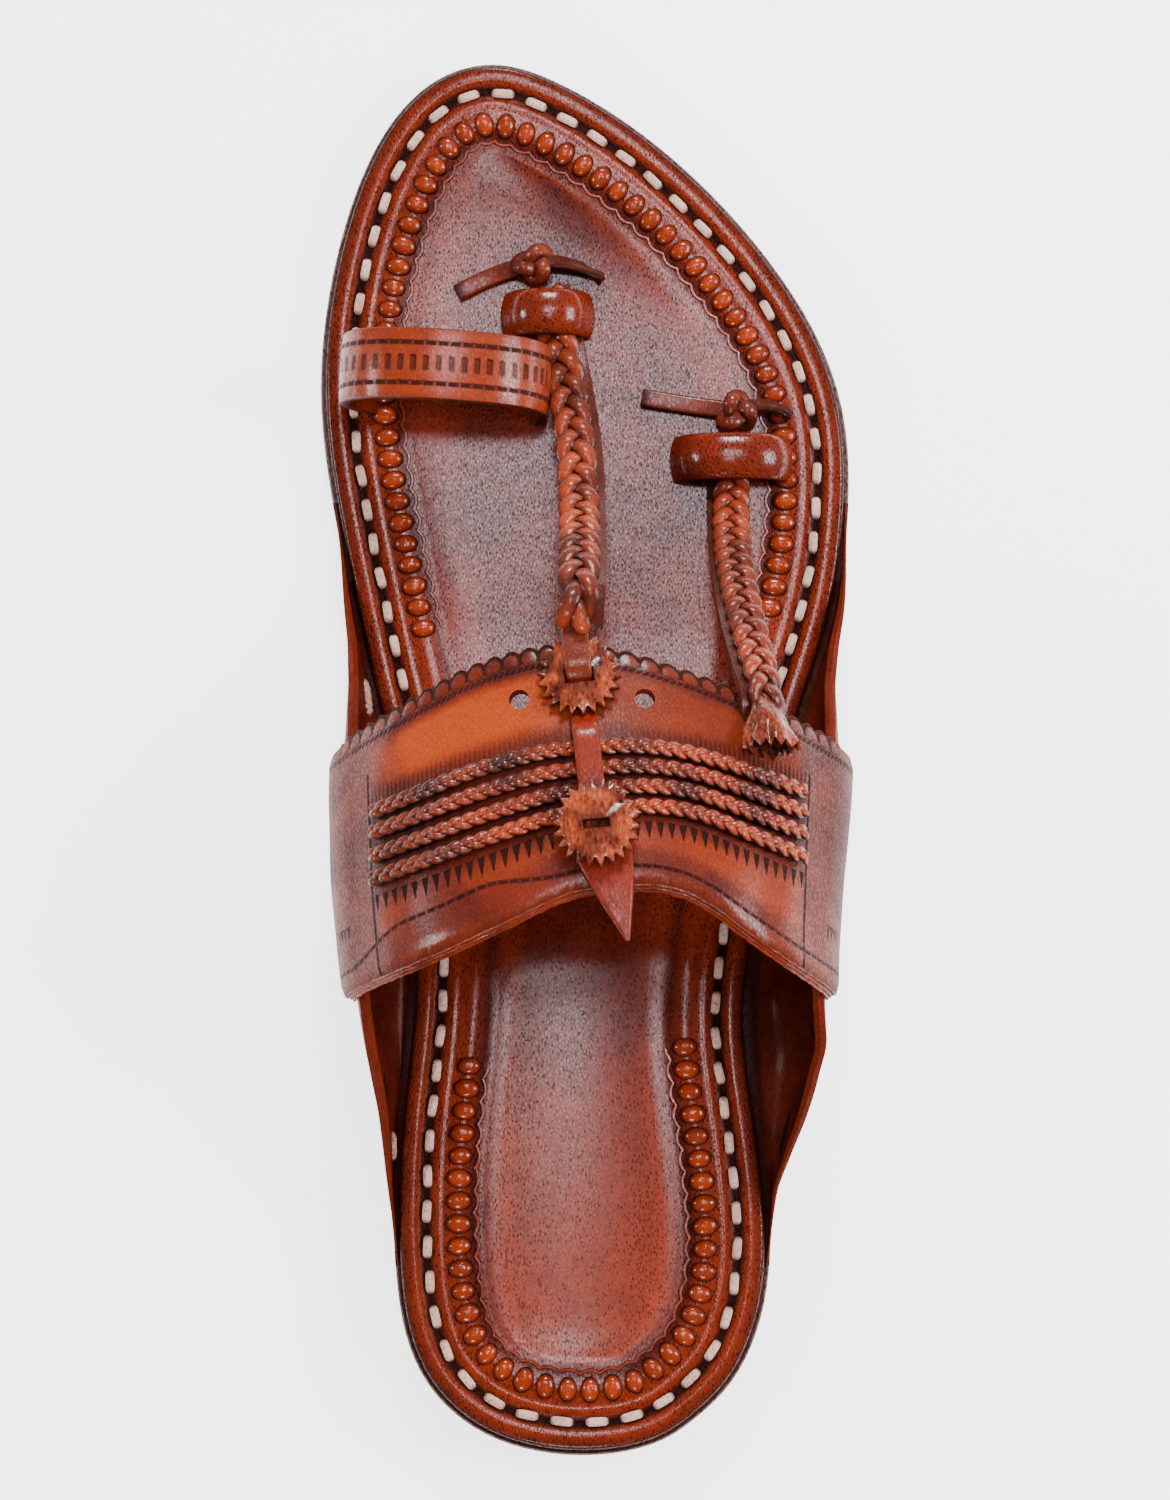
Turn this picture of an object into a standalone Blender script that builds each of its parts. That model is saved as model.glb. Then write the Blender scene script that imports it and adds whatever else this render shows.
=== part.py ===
# Kolhapuri sandal for the right foot: a hand-made leather sandal with a heel lift, outsole and insole,
# two side ears held between the sole layers, and an upper of instep band, toe ring and two braided straps.
# Metres, +Z up, +Y to the toe, +X to the outer (lateral) side. The floor is z = 0.
# Everything is worked out with y = 0 at the back of the heel, then moved so that the origin is at the
# middle of the heel's resting face.
import math

import bmesh
import bpy
import numpy as np
from mathutils import Matrix, Vector

# Sole
SOLE_LENGTH = 0.285
BALL_WIDTH = 0.109
OUTSOLE_THICKNESS = 0.005
INSOLE_THICKNESS = 0.0035
INSOLE_SETBACK = 0.0012
HEEL_LIFT_HEIGHT = 0.007
HEEL_LIFT_LENGTH = 0.0885
HEEL_LIFT_SETBACK = 0.0006
TREAD_REAR = 0.168
TREAD_FRONT = 0.225
TOE_SPRING = 0.004
HEEL_SEAT = 0.044
GAP = 0.0003

# Insole surface: the channel that holds the lacing, and the raised bead border inside it
CHANNEL_INSET = 0.0065
CHANNEL_WIDTH = 0.0018
CHANNEL_DEPTH = 0.0005
BEAD_INSET = 0.0135
BEAD_WIDTH = 0.0046
BEAD_HEIGHT = 0.0009
FRONT_BEADS_START = 0.165
REAR_BEADS_END = 0.085

# Ears: the side flaps between insole and outsole
EAR_THICKNESS = 0.0022
EAR_SKIVED = 0.0006
EAR_TUCK = 0.009
EAR_REACH = 0.0127
EAR_HEIGHT = 0.032
EAR_RISE_SHARE = 0.6
EAR_REAR = 0.038
EAR_FRONT = 0.194
POCKET_RAMP = 0.004

# Instep band
BAND_THICKNESS = 0.0024
BAND_FRONT = 0.139
BAND_SIDE_WIDTH = 0.047
BAND_CORNER = 0.004
BAND_LOW_ANGLE = 38.0
BAND_FRONT_HEIGHT = 0.060
BAND_REAR_HEIGHT = 0.073
CREST_FRONT_X = -0.0034
CREST_REAR_X = 0.0018
FULLNESS = 2.3
PUNCH_RADIUS = 0.002
PUNCH_FROM_EDGE = 0.0085
PUNCH_SPREAD = 0.0122

# Toe ring
RING_LEFT = -0.0502
RING_SPAN = 0.0417
RING_HEIGHT = 0.0255
RING_WIDTH = 0.0144
RING_THICKNESS = 0.0022
RING_Y = 0.218
RING_YAW = math.radians(-3.4)
SLIT_DEPTH = 0.0018
SLIT_CLEARANCE = 0.0004

# Braided straps
STRAP_WIDTH = 0.0085
STRAP_THICKNESS = 0.0015
BRAID_WIDTH = 0.0076
BRAID_HEIGHT = 0.0032
BRAID_PITCH = 0.0042
BRAID_RELIEF = 0.0011

# Braided cords across the band
CORD_WIDTH = 0.0035
CORD_HEIGHT = 0.0022
CORD_END_X = 0.0415

# Place of each cord behind the band's front edge, in shares of the band's width
CORDS = [
    # medial end, crest, lateral end
    (0.370, 0.437, 0.292),
    (0.453, 0.526, 0.374),
    (0.545, 0.615, 0.462),
    (0.633, 0.704, 0.555),
]
# How far each edge of the band swings forward on its way up to the crest
BAND_LEAN = [
    # across from the crest in shares, medial front edge, medial rear edge, lateral front edge, lateral rear edge
    (0.00, 0.0180, 0.0180, 0.0180, 0.0180),
    (0.10, 0.0178, 0.0171, 0.0175, 0.0184),
    (0.20, 0.0171, 0.0154, 0.0164, 0.0184),
    (0.33, 0.0156, 0.0124, 0.0142, 0.0174),
    (0.45, 0.0136, 0.0097, 0.0120, 0.0148),
    (0.60, 0.0100, 0.0066, 0.0089, 0.0099),
    (0.80, 0.0047, 0.0032, 0.0040, 0.0043),
    (0.92, 0.0017, 0.0014, 0.0014, 0.0016),
    (1.00, 0.0000, 0.0000, 0.0000, 0.0000),
]

# Pinked rosettes and the strip laced through them
ROSETTE_RADIUS = 0.0082
REAR_ROSETTE_RADIUS = 0.0085
ROSETTE_TOOTH = 0.0012
ROSETTE_TEETH = 22
ROSETTE_THICKNESS = 0.0016
FRONT_ROSETTE_AT = 0.0065
REAR_ROSETTE_AT = 0.0382
FRONT_SLOT_LENGTH = 0.0062
FRONT_SLOT_WIDTH = 0.0066
REAR_SLOT_LENGTH = 0.0022
REAR_SLOT_WIDTH = 0.0054
STRIP_WIDTH = 0.0052
STRIP_THICKNESS = 0.0012

# Anchor loops, knots and the tassel
LOOP_LENGTH = 0.0095
LOOP_HEIGHT = 0.0062
CENTER_LOOP_Y = 0.2322
CENTER_LOOP_LEFT = -0.0166
CENTER_LOOP_RIGHT = -0.0018
SIDE_LOOP_Y = 0.2024
SIDE_LOOP_LEFT = 0.0180
SIDE_LOOP_RIGHT = 0.0388
SIDE_ENTRY_X = 0.0325
LOOP_THICKNESS = 0.0013
KNOT_WIDTH = 0.0088
KNOT_LENGTH = 0.0076
KNOT_HEIGHT = 0.0062
TAIL_WIDTH = 0.0036
TAIL_THICKNESS = 0.0015
TASSEL_RADIUS = 0.0056
TASSEL_HEIGHT = 0.0046
TASSEL_THICKNESS = 0.0014
TASSEL_TEETH = 14
TASSEL_PLACE = 0.17

STATION_COUNT = 30
MEDIAL, LATERAL = -1, 1

# Shares of the sole length, and of the ball width measured from the long axis
SOLE_OUTLINE = [
    # along, medial, lateral
    (0.000, -0.018, -0.018),
    (0.011, -0.175, 0.131),
    (0.025, -0.240, 0.187),
    (0.049, -0.302, 0.252),
    (0.076, -0.338, 0.293),
    (0.130, -0.364, 0.327),
    (0.246, -0.358, 0.306),
    (0.311, -0.341, 0.290),
    (0.396, -0.340, 0.319),
    (0.465, -0.362, 0.350),
    (0.533, -0.408, 0.401),
    (0.602, -0.449, 0.456),
    (0.670, -0.485, 0.482),
    (0.746, -0.512, 0.475),
    (0.800, -0.510, 0.429),
    (0.853, -0.489, 0.345),
    (0.907, -0.449, 0.224),
    (0.960, -0.377, 0.058),
    (0.987, -0.303, -0.065),
    (1.000, -0.190, -0.190),
]

# Shares of the distance from EAR_REAR to EAR_FRONT, of EAR_REACH and of EAR_HEIGHT
EAR_SECTIONS = [
    # along, medial reach, lateral reach, height
    (0.00, 0.01, 0.01, 0.030),
    (0.09, 0.03, 0.08, 0.190),
    (0.14, 0.05, 0.28, 0.310),
    (0.19, 0.12, 0.56, 0.440),
    (0.24, 0.28, 0.81, 0.590),
    (0.29, 0.46, 1.00, 0.720),
    (0.35, 0.63, 0.97, 0.850),
    (0.41, 0.73, 0.89, 0.960),
    (0.49, 0.79, 0.81, 1.000),
    (0.58, 0.72, 0.74, 0.970),
    (0.64, 0.57, 0.63, 0.850),
    (0.70, 0.34, 0.40, 0.660),
    (0.76, 0.14, 0.16, 0.440),
    (0.82, 0.04, 0.05, 0.250),
    (0.91, 0.02, 0.02, 0.100),
    (1.00, 0.01, 0.01, 0.030),
]

# Centre line of the toe ring's strap, in shares of RING_SPAN and RING_HEIGHT
RING_ARCH = [
    # across, up
    (0.125, -0.055),
    (0.115, 0.080),
    (0.020, 0.320),
    (0.030, 0.660),
    (0.160, 0.900),
    (0.400, 1.000),
    (0.660, 0.970),
    (0.860, 0.830),
    (0.955, 0.550),
    (0.965, 0.250),
    (0.960, -0.055),
]

# Underside of each braid from its toe end to the band
CENTER_BRAID_PATH = [
    # x, y, above the insole
    (-0.0098, 0.2375, 0.0000),
    (-0.0076, 0.2290, 0.0004),
    (-0.0052, 0.2160, 0.0050),
    (-0.0032, 0.2010, 0.0150),
    (-0.0026, 0.1850, 0.0285),
]
SIDE_BRAID_PATH = [
    # x, y, above the insole
    (0.0285, 0.2066, 0.0000),
    (0.0284, 0.1985, 0.0002),
    (0.0283, 0.1900, 0.0034),
    (0.0286, 0.1780, 0.0160),
    (0.0300, 0.1640, 0.0320),
]
# Underside of the tongue that ends the centre braid, through the front rosette into the band
TONGUE_PATH = [
    # behind the band's front edge, above the rosette
    (-0.0075, 0.0002),
    (0.0010, 0.0000),
    (0.0050, -0.0002),
    (0.0065, -0.0014),
    (0.0073, -0.0030),
    (0.0076, -0.0047),
]
# Underside of the strip from the front rosette to its leaf
STRIP_PATH = [
    # behind the band's front edge, above what it lies on, to the outer side, what it lies on
    (0.0106, 0.0003, 0.0000, "band"),
    (0.0124, 0.0003, 0.0000, "band"),
    (0.0150, 0.0004, 0.0000, "band"),
    (0.0172, 0.0018, 0.0000, "band"),
    (0.0194, 0.0002, 0.0000, "cords"),
    (0.0245, 0.0001, 0.0000, "cords"),
    (0.0305, 0.0001, 0.0000, "cords"),
    (0.0356, 0.0001, 0.0001, "cords"),
    (0.0384, 0.0019, 0.0003, "band"),
    (0.0412, 0.0005, 0.0006, "band"),
    (0.0450, 0.0004, 0.0013, "band"),
    (0.0500, 0.0004, 0.0021, "band"),
    (0.0608, -0.0006, 0.0037, "band"),
]
STRIP_WIDTHS = [
    # along, width
    (0.00, 0.0052),
    (0.52, 0.0052),
    (0.65, 0.0108),
    (0.81, 0.0072),
    (0.92, 0.0036),
    (1.00, 0.0008),
]
LOOP_ARCH = [
    # across from the middle, up, both in shares
    (-1.00, 0.00),
    (-0.84, 0.42),
    (-0.52, 0.86),
    (0.00, 1.00),
    (0.52, 0.86),
    (0.84, 0.42),
    (1.00, 0.00),
]
CENTER_KNOT = [
    # x, y: the knot, then the ends of the thong
    (-0.0120, 0.2425),
    (-0.0200, 0.2405),
    (-0.0277, 0.2368),
    (-0.0040, 0.2418),
    (0.0016, 0.2390),
]
SIDE_KNOT = [
    # x, y: the knot, then the ends of the thong
    (0.0296, 0.2118),
    (0.0200, 0.2136),
    (0.0101, 0.2152),
    (0.0360, 0.2126),
    (0.0400, 0.2104),
]


def spline(xs, ys):
    """Natural cubic spline through the rows of a table."""
    xs, ys = np.array(xs, float), np.array(ys, float)
    steps = np.diff(xs)
    slopes = np.diff(ys, axis=0) / (steps if ys.ndim == 1 else steps[:, None])
    count = len(xs)
    system = np.eye(count)
    right = np.zeros_like(ys)
    for i in range(1, count - 1):
        system[i, i - 1 : i + 2] = steps[i - 1], 2 * (steps[i - 1] + steps[i]), steps[i]
        right[i] = 6 * (slopes[i] - slopes[i - 1])
    bends = np.linalg.solve(system, right)

    def at(x):
        i = int(np.clip(np.searchsorted(xs, x) - 1, 0, count - 2))
        h, a, b = steps[i], xs[i + 1] - x, x - xs[i]
        curved = (bends[i] * a**3 + bends[i + 1] * b**3) / (6 * h)
        return curved + (ys[i] / h - bends[i] * h / 6) * a + (ys[i + 1] / h - bends[i + 1] * h / 6) * b

    return at


def steady(xs, ys):
    """Curve through a table's rows that never overshoots them."""
    xs, ys = np.array(xs, float), np.array(ys, float)
    secants = np.diff(ys) / np.diff(xs)
    slopes = np.zeros(len(xs))
    for i in range(1, len(xs) - 1):
        before, after = secants[i - 1], secants[i]
        if before * after > 0:
            slopes[i] = 2 * before * after / (before + after)
    slopes[0], slopes[-1] = secants[0], secants[-1]

    def at(x):
        x = min(max(x, xs[0]), xs[-1])
        i = int(np.clip(np.searchsorted(xs, x) - 1, 0, len(xs) - 2))
        h = xs[i + 1] - xs[i]
        t = (x - xs[i]) / h
        start = (1 + 2 * t) * (1 - t) ** 2 * ys[i] + t * (1 - t) ** 2 * h * slopes[i]
        return start + t * t * (3 - 2 * t) * ys[i + 1] + t * t * (t - 1) * h * slopes[i + 1]

    return at


def column(table, number):
    return [row[number] for row in table]


def ramp(x):
    """0 below 0, 1 above 1, and smooth between."""
    x = min(max(x, 0.0), 1.0)
    return x * x * (3 - 2 * x)


# The outline is read against the angle of a half circle, which keeps both ends round
OUTLINE_ANGLES = [math.acos(1 - 2 * share) for share in column(SOLE_OUTLINE, 0)]
OUTLINE = {
    MEDIAL: spline(OUTLINE_ANGLES, column(SOLE_OUTLINE, 1)),
    LATERAL: spline(OUTLINE_ANGLES, column(SOLE_OUTLINE, 2)),
}
EAR_SPREAD = {
    MEDIAL: steady(column(EAR_SECTIONS, 0), column(EAR_SECTIONS, 1)),
    LATERAL: steady(column(EAR_SECTIONS, 0), column(EAR_SECTIONS, 2)),
}
EAR_TOP = steady(column(EAR_SECTIONS, 0), column(EAR_SECTIONS, 3))
LEAN = {
    MEDIAL: [steady(column(BAND_LEAN, 0), column(BAND_LEAN, k)) for k in (1, 2)],
    LATERAL: [steady(column(BAND_LEAN, 0), column(BAND_LEAN, k)) for k in (3, 4)],
}


def sole_edge(side, y):
    share = min(max(y / SOLE_LENGTH, 0.0), 1.0)
    return BALL_WIDTH * OUTLINE[side](math.acos(1 - 2 * share))


def ground(y):
    """Height of the outsole's underside: on the heel lift, down through the arch, flat tread, toe spring."""
    arch = ramp((y - HEEL_LIFT_LENGTH) / (TREAD_REAR - HEEL_LIFT_LENGTH))
    toe = max(0.0, (y - TREAD_FRONT) / (SOLE_LENGTH - TREAD_FRONT))
    return (HEEL_LIFT_HEIGHT + GAP) * (1 - arch) + TOE_SPRING * toe**2


def footbed(y):
    return ground(y) + OUTSOLE_THICKNESS + GAP + INSOLE_THICKNESS


def ear_share(y):
    return (y - EAR_REAR) / (EAR_FRONT - EAR_REAR)


def ear_wall(y):
    """Thickness of the ear leather, skived towards both ends."""
    share = ear_share(y)
    full = ramp(share / 0.25) * ramp((1 - share) / 0.25)
    return EAR_SKIVED + (EAR_THICKNESS - EAR_SKIVED) * full


def pocket(y):
    """How far each sole layer is recessed for the ears at its edge."""
    present = ramp((y - EAR_REAR + POCKET_RAMP) / POCKET_RAMP) * ramp((EAR_FRONT + POCKET_RAMP - y) / POCKET_RAMP)
    return present * (ear_wall(y) + GAP) / 2


def ear_low(y):
    """Height of the ear's inner face where it leaves the sole's edge."""
    return ground(y) + OUTSOLE_THICKNESS + GAP / 2 + ear_wall(y) / 2


def crest(y):
    """Top of the last under the band, as x and z."""
    front = BAND_FRONT + LEAN[MEDIAL][0](0)
    rear = BAND_FRONT - BAND_SIDE_WIDTH + LEAN[MEDIAL][1](0)
    share = (front - y) / (front - rear)
    drop = BAND_THICKNESS + EAR_THICKNESS + GAP
    height = BAND_FRONT_HEIGHT + (BAND_REAR_HEIGHT - BAND_FRONT_HEIGHT) * share - drop
    return CREST_FRONT_X + (CREST_REAR_X - CREST_FRONT_X) * share, height


def last_point(side, y, angle):
    """The last that ears and band lie on: -90 degrees is the sole's edge, 0 the widest point, 90 the crest."""
    edge = sole_edge(side, y)
    share = ear_share(y)
    reach = EAR_REACH * EAR_SPREAD[side](share)
    rise = EAR_RISE_SHARE * EAR_HEIGHT * EAR_TOP(share)
    widest = ear_low(y) + rise
    q = math.radians(angle)
    if angle <= 0:
        return Vector((edge + side * reach * math.cos(q), y, widest + rise * math.sin(q)))
    crest_x, crest_z = crest(y)
    bend = 2 / FULLNESS
    across = (edge + side * reach - crest_x) * max(math.cos(q), 0.0) ** bend
    return Vector((crest_x + across, y, widest + (crest_z - widest) * math.sin(q) ** bend))


def band_point(u, v, out=0.0):
    """Point of the band: u from the medial end over the crest to the lateral end, v from front to rear edge.
    out is the distance from the band's inner face."""

    def on_last(u, v):
        side = MEDIAL if u < 0.5 else LATERAL
        angle = -BAND_LOW_ANGLE + (90 + BAND_LOW_ANGLE) * 2 * min(u, 1 - u)
        y = BAND_FRONT - BAND_SIDE_WIDTH * v
        if angle > 0:
            across = max(math.cos(math.radians(angle)), 0.0) ** (2 / FULLNESS)
            front, rear = LEAN[side]
            y += front(across) * (1 - v) + rear(across) * v
        else:
            y -= BAND_CORNER * (angle / BAND_LOW_ANGLE) ** 2 * (1 - 2 * v)
        return last_point(side, y, angle)

    du, dv = 0.004, 0.02
    along = on_last(min(u + du, 1), v) - on_last(max(u - du, 0), v)
    across = on_last(u, v + dv) - on_last(u, v - dv)
    normal = across.cross(along).normalized()
    return on_last(u, v) + normal * (EAR_THICKNESS + GAP + out)


def crest_frame():
    """Frame on the band's outer face at the crest: origin at the front edge, s to the rear, h outwards."""
    front, rear = band_point(0.5, 0, BAND_THICKNESS), band_point(0.5, 1, BAND_THICKNESS)
    back = (rear - front).normalized()
    side = Vector((1, 0, 0))
    up = side.cross(-back).normalized()
    side = (-back).cross(up)
    return front, side, back, up


def collection_of(name, hidden=False):
    made = bpy.data.collections.new(name)
    bpy.context.scene.collection.children.link(made)
    made.hide_render = hidden
    return made


def leather(name, colour, roughness):
    material = bpy.data.materials.new(name)
    material.use_nodes = True
    shader = material.node_tree.nodes["Principled BSDF"]
    shader.inputs["Base Color"].default_value = (*colour, 1)
    shader.inputs["Roughness"].default_value = roughness
    shader.inputs["Metallic"].default_value = 0
    return material


def add_object(name, vertices, faces, material, smooth=35):
    mesh = bpy.data.meshes.new(name)
    mesh.from_pydata([tuple(v) for v in vertices], [], faces)
    made = bmesh.new()
    made.from_mesh(mesh)
    bmesh.ops.recalc_face_normals(made, faces=made.faces)
    made.to_mesh(mesh)
    made.free()
    mesh.shade_smooth()
    mesh.set_sharp_from_angle(angle=math.radians(smooth))
    obj = bpy.data.objects.new(name, mesh)
    PIECES.objects.link(obj)
    if material:
        mesh.materials.append(material)
    return obj


def as_helper(obj):
    """Moves an object to the cutters, out of the finished part."""
    PIECES.objects.unlink(obj)
    CUTTERS.objects.link(obj)
    obj.hide_render = True
    obj.display_type = "WIRE"
    return obj


def box_cutter(name, size, placed):
    corners = [(x, y, z) for x in (-0.5, 0.5) for y in (-0.5, 0.5) for z in (-0.5, 0.5)]
    corners = [placed @ Vector((x * size[0], y * size[1], z * size[2])) for x, y, z in corners]
    faces = [(0, 1, 3, 2), (4, 6, 7, 5), (0, 4, 5, 1), (2, 3, 7, 6), (0, 2, 6, 4), (1, 5, 7, 3)]
    return as_helper(add_object(name, corners, faces, None))


def boolean(obj, other, operation):
    step = obj.modifiers.new(operation.lower(), "BOOLEAN")
    step.operation = operation
    step.object = other
    step.solver = "EXACT"


def solidify(obj, thickness, offset, group=None):
    step = obj.modifiers.new("wall", "SOLIDIFY")
    step.thickness = thickness
    step.offset = offset
    step.use_even_offset = True
    if group:
        step.vertex_group = group
    return step


def stations():
    """Lengthwise stations of the sole, close together at the round ends, with the ears' ends among them."""
    wanted = [EAR_REAR - POCKET_RAMP, EAR_REAR, EAR_FRONT, EAR_FRONT + POCKET_RAMP]
    found = [SOLE_LENGTH * (1 - math.cos(math.pi * i / STATION_COUNT)) / 2 for i in range(STATION_COUNT + 1)]
    found = [y for y in found if all(abs(y - w) > 0.003 for w in wanted)]
    return sorted(found + wanted)


def outline_ring(ys, inset):
    """The outline as a ring of points moved inwards: heel, lateral side, toe, medial side."""
    lateral = [(sole_edge(LATERAL, y), y) for y in ys]
    medial = [(sole_edge(MEDIAL, y), y) for y in ys[-2:0:-1]]
    ring = np.array(lateral + medial)
    tangents = np.roll(ring, -1, axis=0) - np.roll(ring, 1, axis=0)
    tangents /= np.linalg.norm(tangents, axis=1)[:, None]
    inward = np.stack([-tangents[:, 1], tangents[:, 0]], axis=1)
    return ring + inward * inset


def sole_layer(name, profile, base, material, across=4):
    """A layer of the sole. profile runs from the bottom to the top as (inset, height function) rows."""
    ys = stations()
    last = len(ys) - 1
    vertices, rings, faces = [], [], []
    for inset, height in profile:
        ring = outline_ring(ys, inset)
        rings.append(list(range(len(vertices), len(vertices) + len(ring))))
        vertices += [(x, y, base(y) + height(y)) for x, y in ring]
    for low, high in zip(rings, rings[1:]):
        for i in range(len(low)):
            j = (i + 1) % len(low)
            faces.append((low[i], low[j], high[j], high[i]))
    for ring, (_, height) in ((rings[0], profile[0]), (rings[-1], profile[-1])):
        rows = [[ring[0]]]
        for i in range(1, last):
            start, end = ring[i], ring[2 * last - i]
            row = [start]
            for k in range(1, across):
                share = k / across
                x, y = ((1 - share) * np.array(vertices[start][:2]) + share * np.array(vertices[end][:2]))
                row.append(len(vertices))
                vertices.append((x, y, base(y) + height(y)))
            rows.append(row + [end])
        rows.append([ring[last]])
        for near, far in zip(rows, rows[1:]):
            for k in range(max(len(near), len(far)) - 1):
                corners = [near[min(k, len(near) - 1)], far[min(k, len(far) - 1)]]
                corners += [far[min(k + 1, len(far) - 1)], near[min(k + 1, len(near) - 1)]]
                faces.append(tuple(dict.fromkeys(corners)))
    return add_object(name, vertices, faces, material)


def build_outsole():
    top = OUTSOLE_THICKNESS
    recess = EAR_TUCK + GAP
    profile = [
        (0.0014, lambda y: 0.0),
        (0.0, lambda y: 0.0012),
        (0.0, lambda y: top - 0.0006 - pocket(y)),
        (0.0005, lambda y: top - pocket(y)),
        (recess, lambda y: top - pocket(y)),
        (recess + GAP, lambda y: top),
    ]
    return sole_layer("outsole", profile, ground, SOLE_LEATHER)


def build_insole():
    base = OUTSOLE_THICKNESS + GAP
    top = base + INSOLE_THICKNESS
    recess = EAR_TUCK + GAP
    half_channel, half_bead = CHANNEL_WIDTH / 2, BEAD_WIDTH / 2

    def bead(y):
        front = ramp((y - FRONT_BEADS_START) / BEAD_WIDTH)
        rear = ramp((REAR_BEADS_END - y) / BEAD_WIDTH)
        return top + BEAD_HEIGHT * (front + rear)

    profile = [
        (recess + GAP, lambda y: base),
        (recess, lambda y: base + pocket(y)),
        (INSOLE_SETBACK, lambda y: base + pocket(y)),
        (INSOLE_SETBACK, lambda y: top - 0.0008),
        (INSOLE_SETBACK + 0.0007, lambda y: top),
        (CHANNEL_INSET - half_channel, lambda y: top),
        (CHANNEL_INSET, lambda y: top - CHANNEL_DEPTH),
        (CHANNEL_INSET + half_channel, lambda y: top),
        (BEAD_INSET - half_bead, lambda y: top),
        (BEAD_INSET, bead),
        (BEAD_INSET + half_bead, lambda y: top),
    ]
    insole = sole_layer("insole", profile, ground, INSOLE_LEATHER)
    for name, foot in (("slit_medial", RING_ARCH[0]), ("slit_lateral", RING_ARCH[-1])):
        x = RING_LEFT + RING_SPAN * foot[0]
        y = ring_y(x)
        thick = RING_THICKNESS + 2 * SLIT_CLEARANCE
        wide = RING_WIDTH + 2 * SLIT_CLEARANCE
        turned = Matrix.Translation((x, y, footbed(y))) @ Matrix.Rotation(RING_YAW, 4, "Z")
        boolean(insole, box_cutter(name, (thick, wide, 2 * SLIT_DEPTH), turned), "DIFFERENCE")
    return insole


def build_heel_lift():
    height = HEEL_LIFT_HEIGHT
    profile = [
        (HEEL_LIFT_SETBACK + 0.0006, lambda y: 0.0),
        (HEEL_LIFT_SETBACK, lambda y: 0.0006),
        (HEEL_LIFT_SETBACK, lambda y: height),
    ]
    lift = sole_layer("heel_lift", profile, lambda y: 0.0, SOLE_LEATHER, across=3)
    keep = box_cutter("heel_keep", (2 * BALL_WIDTH, 2 * HEEL_LIFT_LENGTH, 4 * height), Matrix.Identity(4))
    boolean(lift, keep, "INTERSECT")
    return lift


def grid(name, rows, material, smooth=35):
    """An open sheet through rows of points, all of one length."""
    width = len(rows[0])
    faces = []
    for i in range(len(rows) - 1):
        for k in range(width - 1):
            a = i * width + k
            faces.append((a, a + width, a + width + 1, a + 1))
    return add_object(name, [point for row in rows for point in row], faces, material, smooth)


def facing(obj, outwards):
    """Turns an open sheet so that its first face's normal agrees with outwards."""
    if obj.data.polygons[0].normal.dot(Vector(outwards)) < 0:
        obj.data.flip_normals()


def ear_top_angle(side, y):
    """Angle on the last at which the ear ends."""
    height = EAR_HEIGHT * EAR_TOP(ear_share(y))
    widest = ear_low(y) + EAR_RISE_SHARE * height
    share = (ear_low(y) + height - widest) / (crest(y)[1] - widest)
    return math.degrees(math.asin(share ** (FULLNESS / 2)))


def build_ear(name, side):
    between = [y for y in stations() if EAR_REAR <= y <= EAR_FRONT]
    halves = [(a + b) / 2 for a, b in zip(between, between[1:]) if b - a > 0.008]
    rows, walls = [], []
    for y in sorted(between + halves):
        edge = sole_edge(side, y)
        row = [Vector((edge - side * EAR_TUCK * share, y, ear_low(y))) for share in (1.0, 0.5)]
        top = ear_top_angle(side, y)
        row += [last_point(side, y, -90 + (top + 90) * k / 8) for k in range(9)]
        rows.append(row)
        walls += [ear_wall(y) / EAR_THICKNESS] * len(row)
    ear = grid(name, rows, EAR_LEATHER)
    facing(ear, (0, 0, -1))
    group = ear.vertex_groups.new(name="wall")
    for index, weight in enumerate(walls):
        group.add([index], weight, "REPLACE")
    solidify(ear, EAR_THICKNESS, 1, "wall")
    return ear


def build_band():
    rows = [[band_point(i / 36, k / 6) for k in range(7)] for i in range(37)]
    band = grid("upper", rows, BAND_LEATHER)
    middle = band.data.polygons[len(band.data.polygons) // 2]
    if middle.normal.z < 0:
        band.data.flip_normals()
    solidify(band, BAND_THICKNESS, 1)
    return band


def ring_y(x):
    return RING_Y + math.tan(RING_YAW) * (x - RING_LEFT - RING_SPAN / 2)


def build_ring():
    arch = spline(range(len(RING_ARCH)), [(across, up) for across, up in RING_ARCH])
    rows = []
    steps = 26
    for i in range(steps + 1):
        across, up = arch(i / steps * (len(RING_ARCH) - 1))
        x = RING_LEFT + RING_SPAN * across
        y = ring_y(x)
        z = footbed(y) + RING_HEIGHT * up
        half = Vector((-math.sin(RING_YAW), math.cos(RING_YAW), 0)) * RING_WIDTH / 2
        centre = Vector((x, y, z))
        rows.append([centre - half, centre, centre + half])
    ring = grid("toe_ring", rows, BAND_LEATHER)
    solidify(ring, RING_THICKNESS, 0)
    return ring


def strap_frames(path, count, ups=None):
    """Evenly spaced points on a smooth path, each with its across and up directions and place from 0 to 1."""
    curve = spline(range(len(path)), [tuple(p) for p in path])
    rising = spline(range(len(path)), [tuple(u) for u in ups or [(0, 0, 1)] * len(path)])
    places = np.linspace(0, len(path) - 1, 400)
    fine = [Vector(curve(t)) for t in places]
    lengths = np.concatenate([[0], np.cumsum([(b - a).length for a, b in zip(fine, fine[1:])])])
    frames = []
    for wanted in np.linspace(0, lengths[-1], count + 1):
        i = int(np.clip(np.searchsorted(lengths, wanted) - 1, 0, len(fine) - 2))
        share = (wanted - lengths[i]) / (lengths[i + 1] - lengths[i])
        along = (fine[i + 1] - fine[i]).normalized()
        across = along.cross(Vector(rising(places[i]))).normalized()
        frames.append((fine[i].lerp(fine[i + 1], share), across, across.cross(along), wanted / lengths[-1]))
    return frames, lengths[-1]


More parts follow.
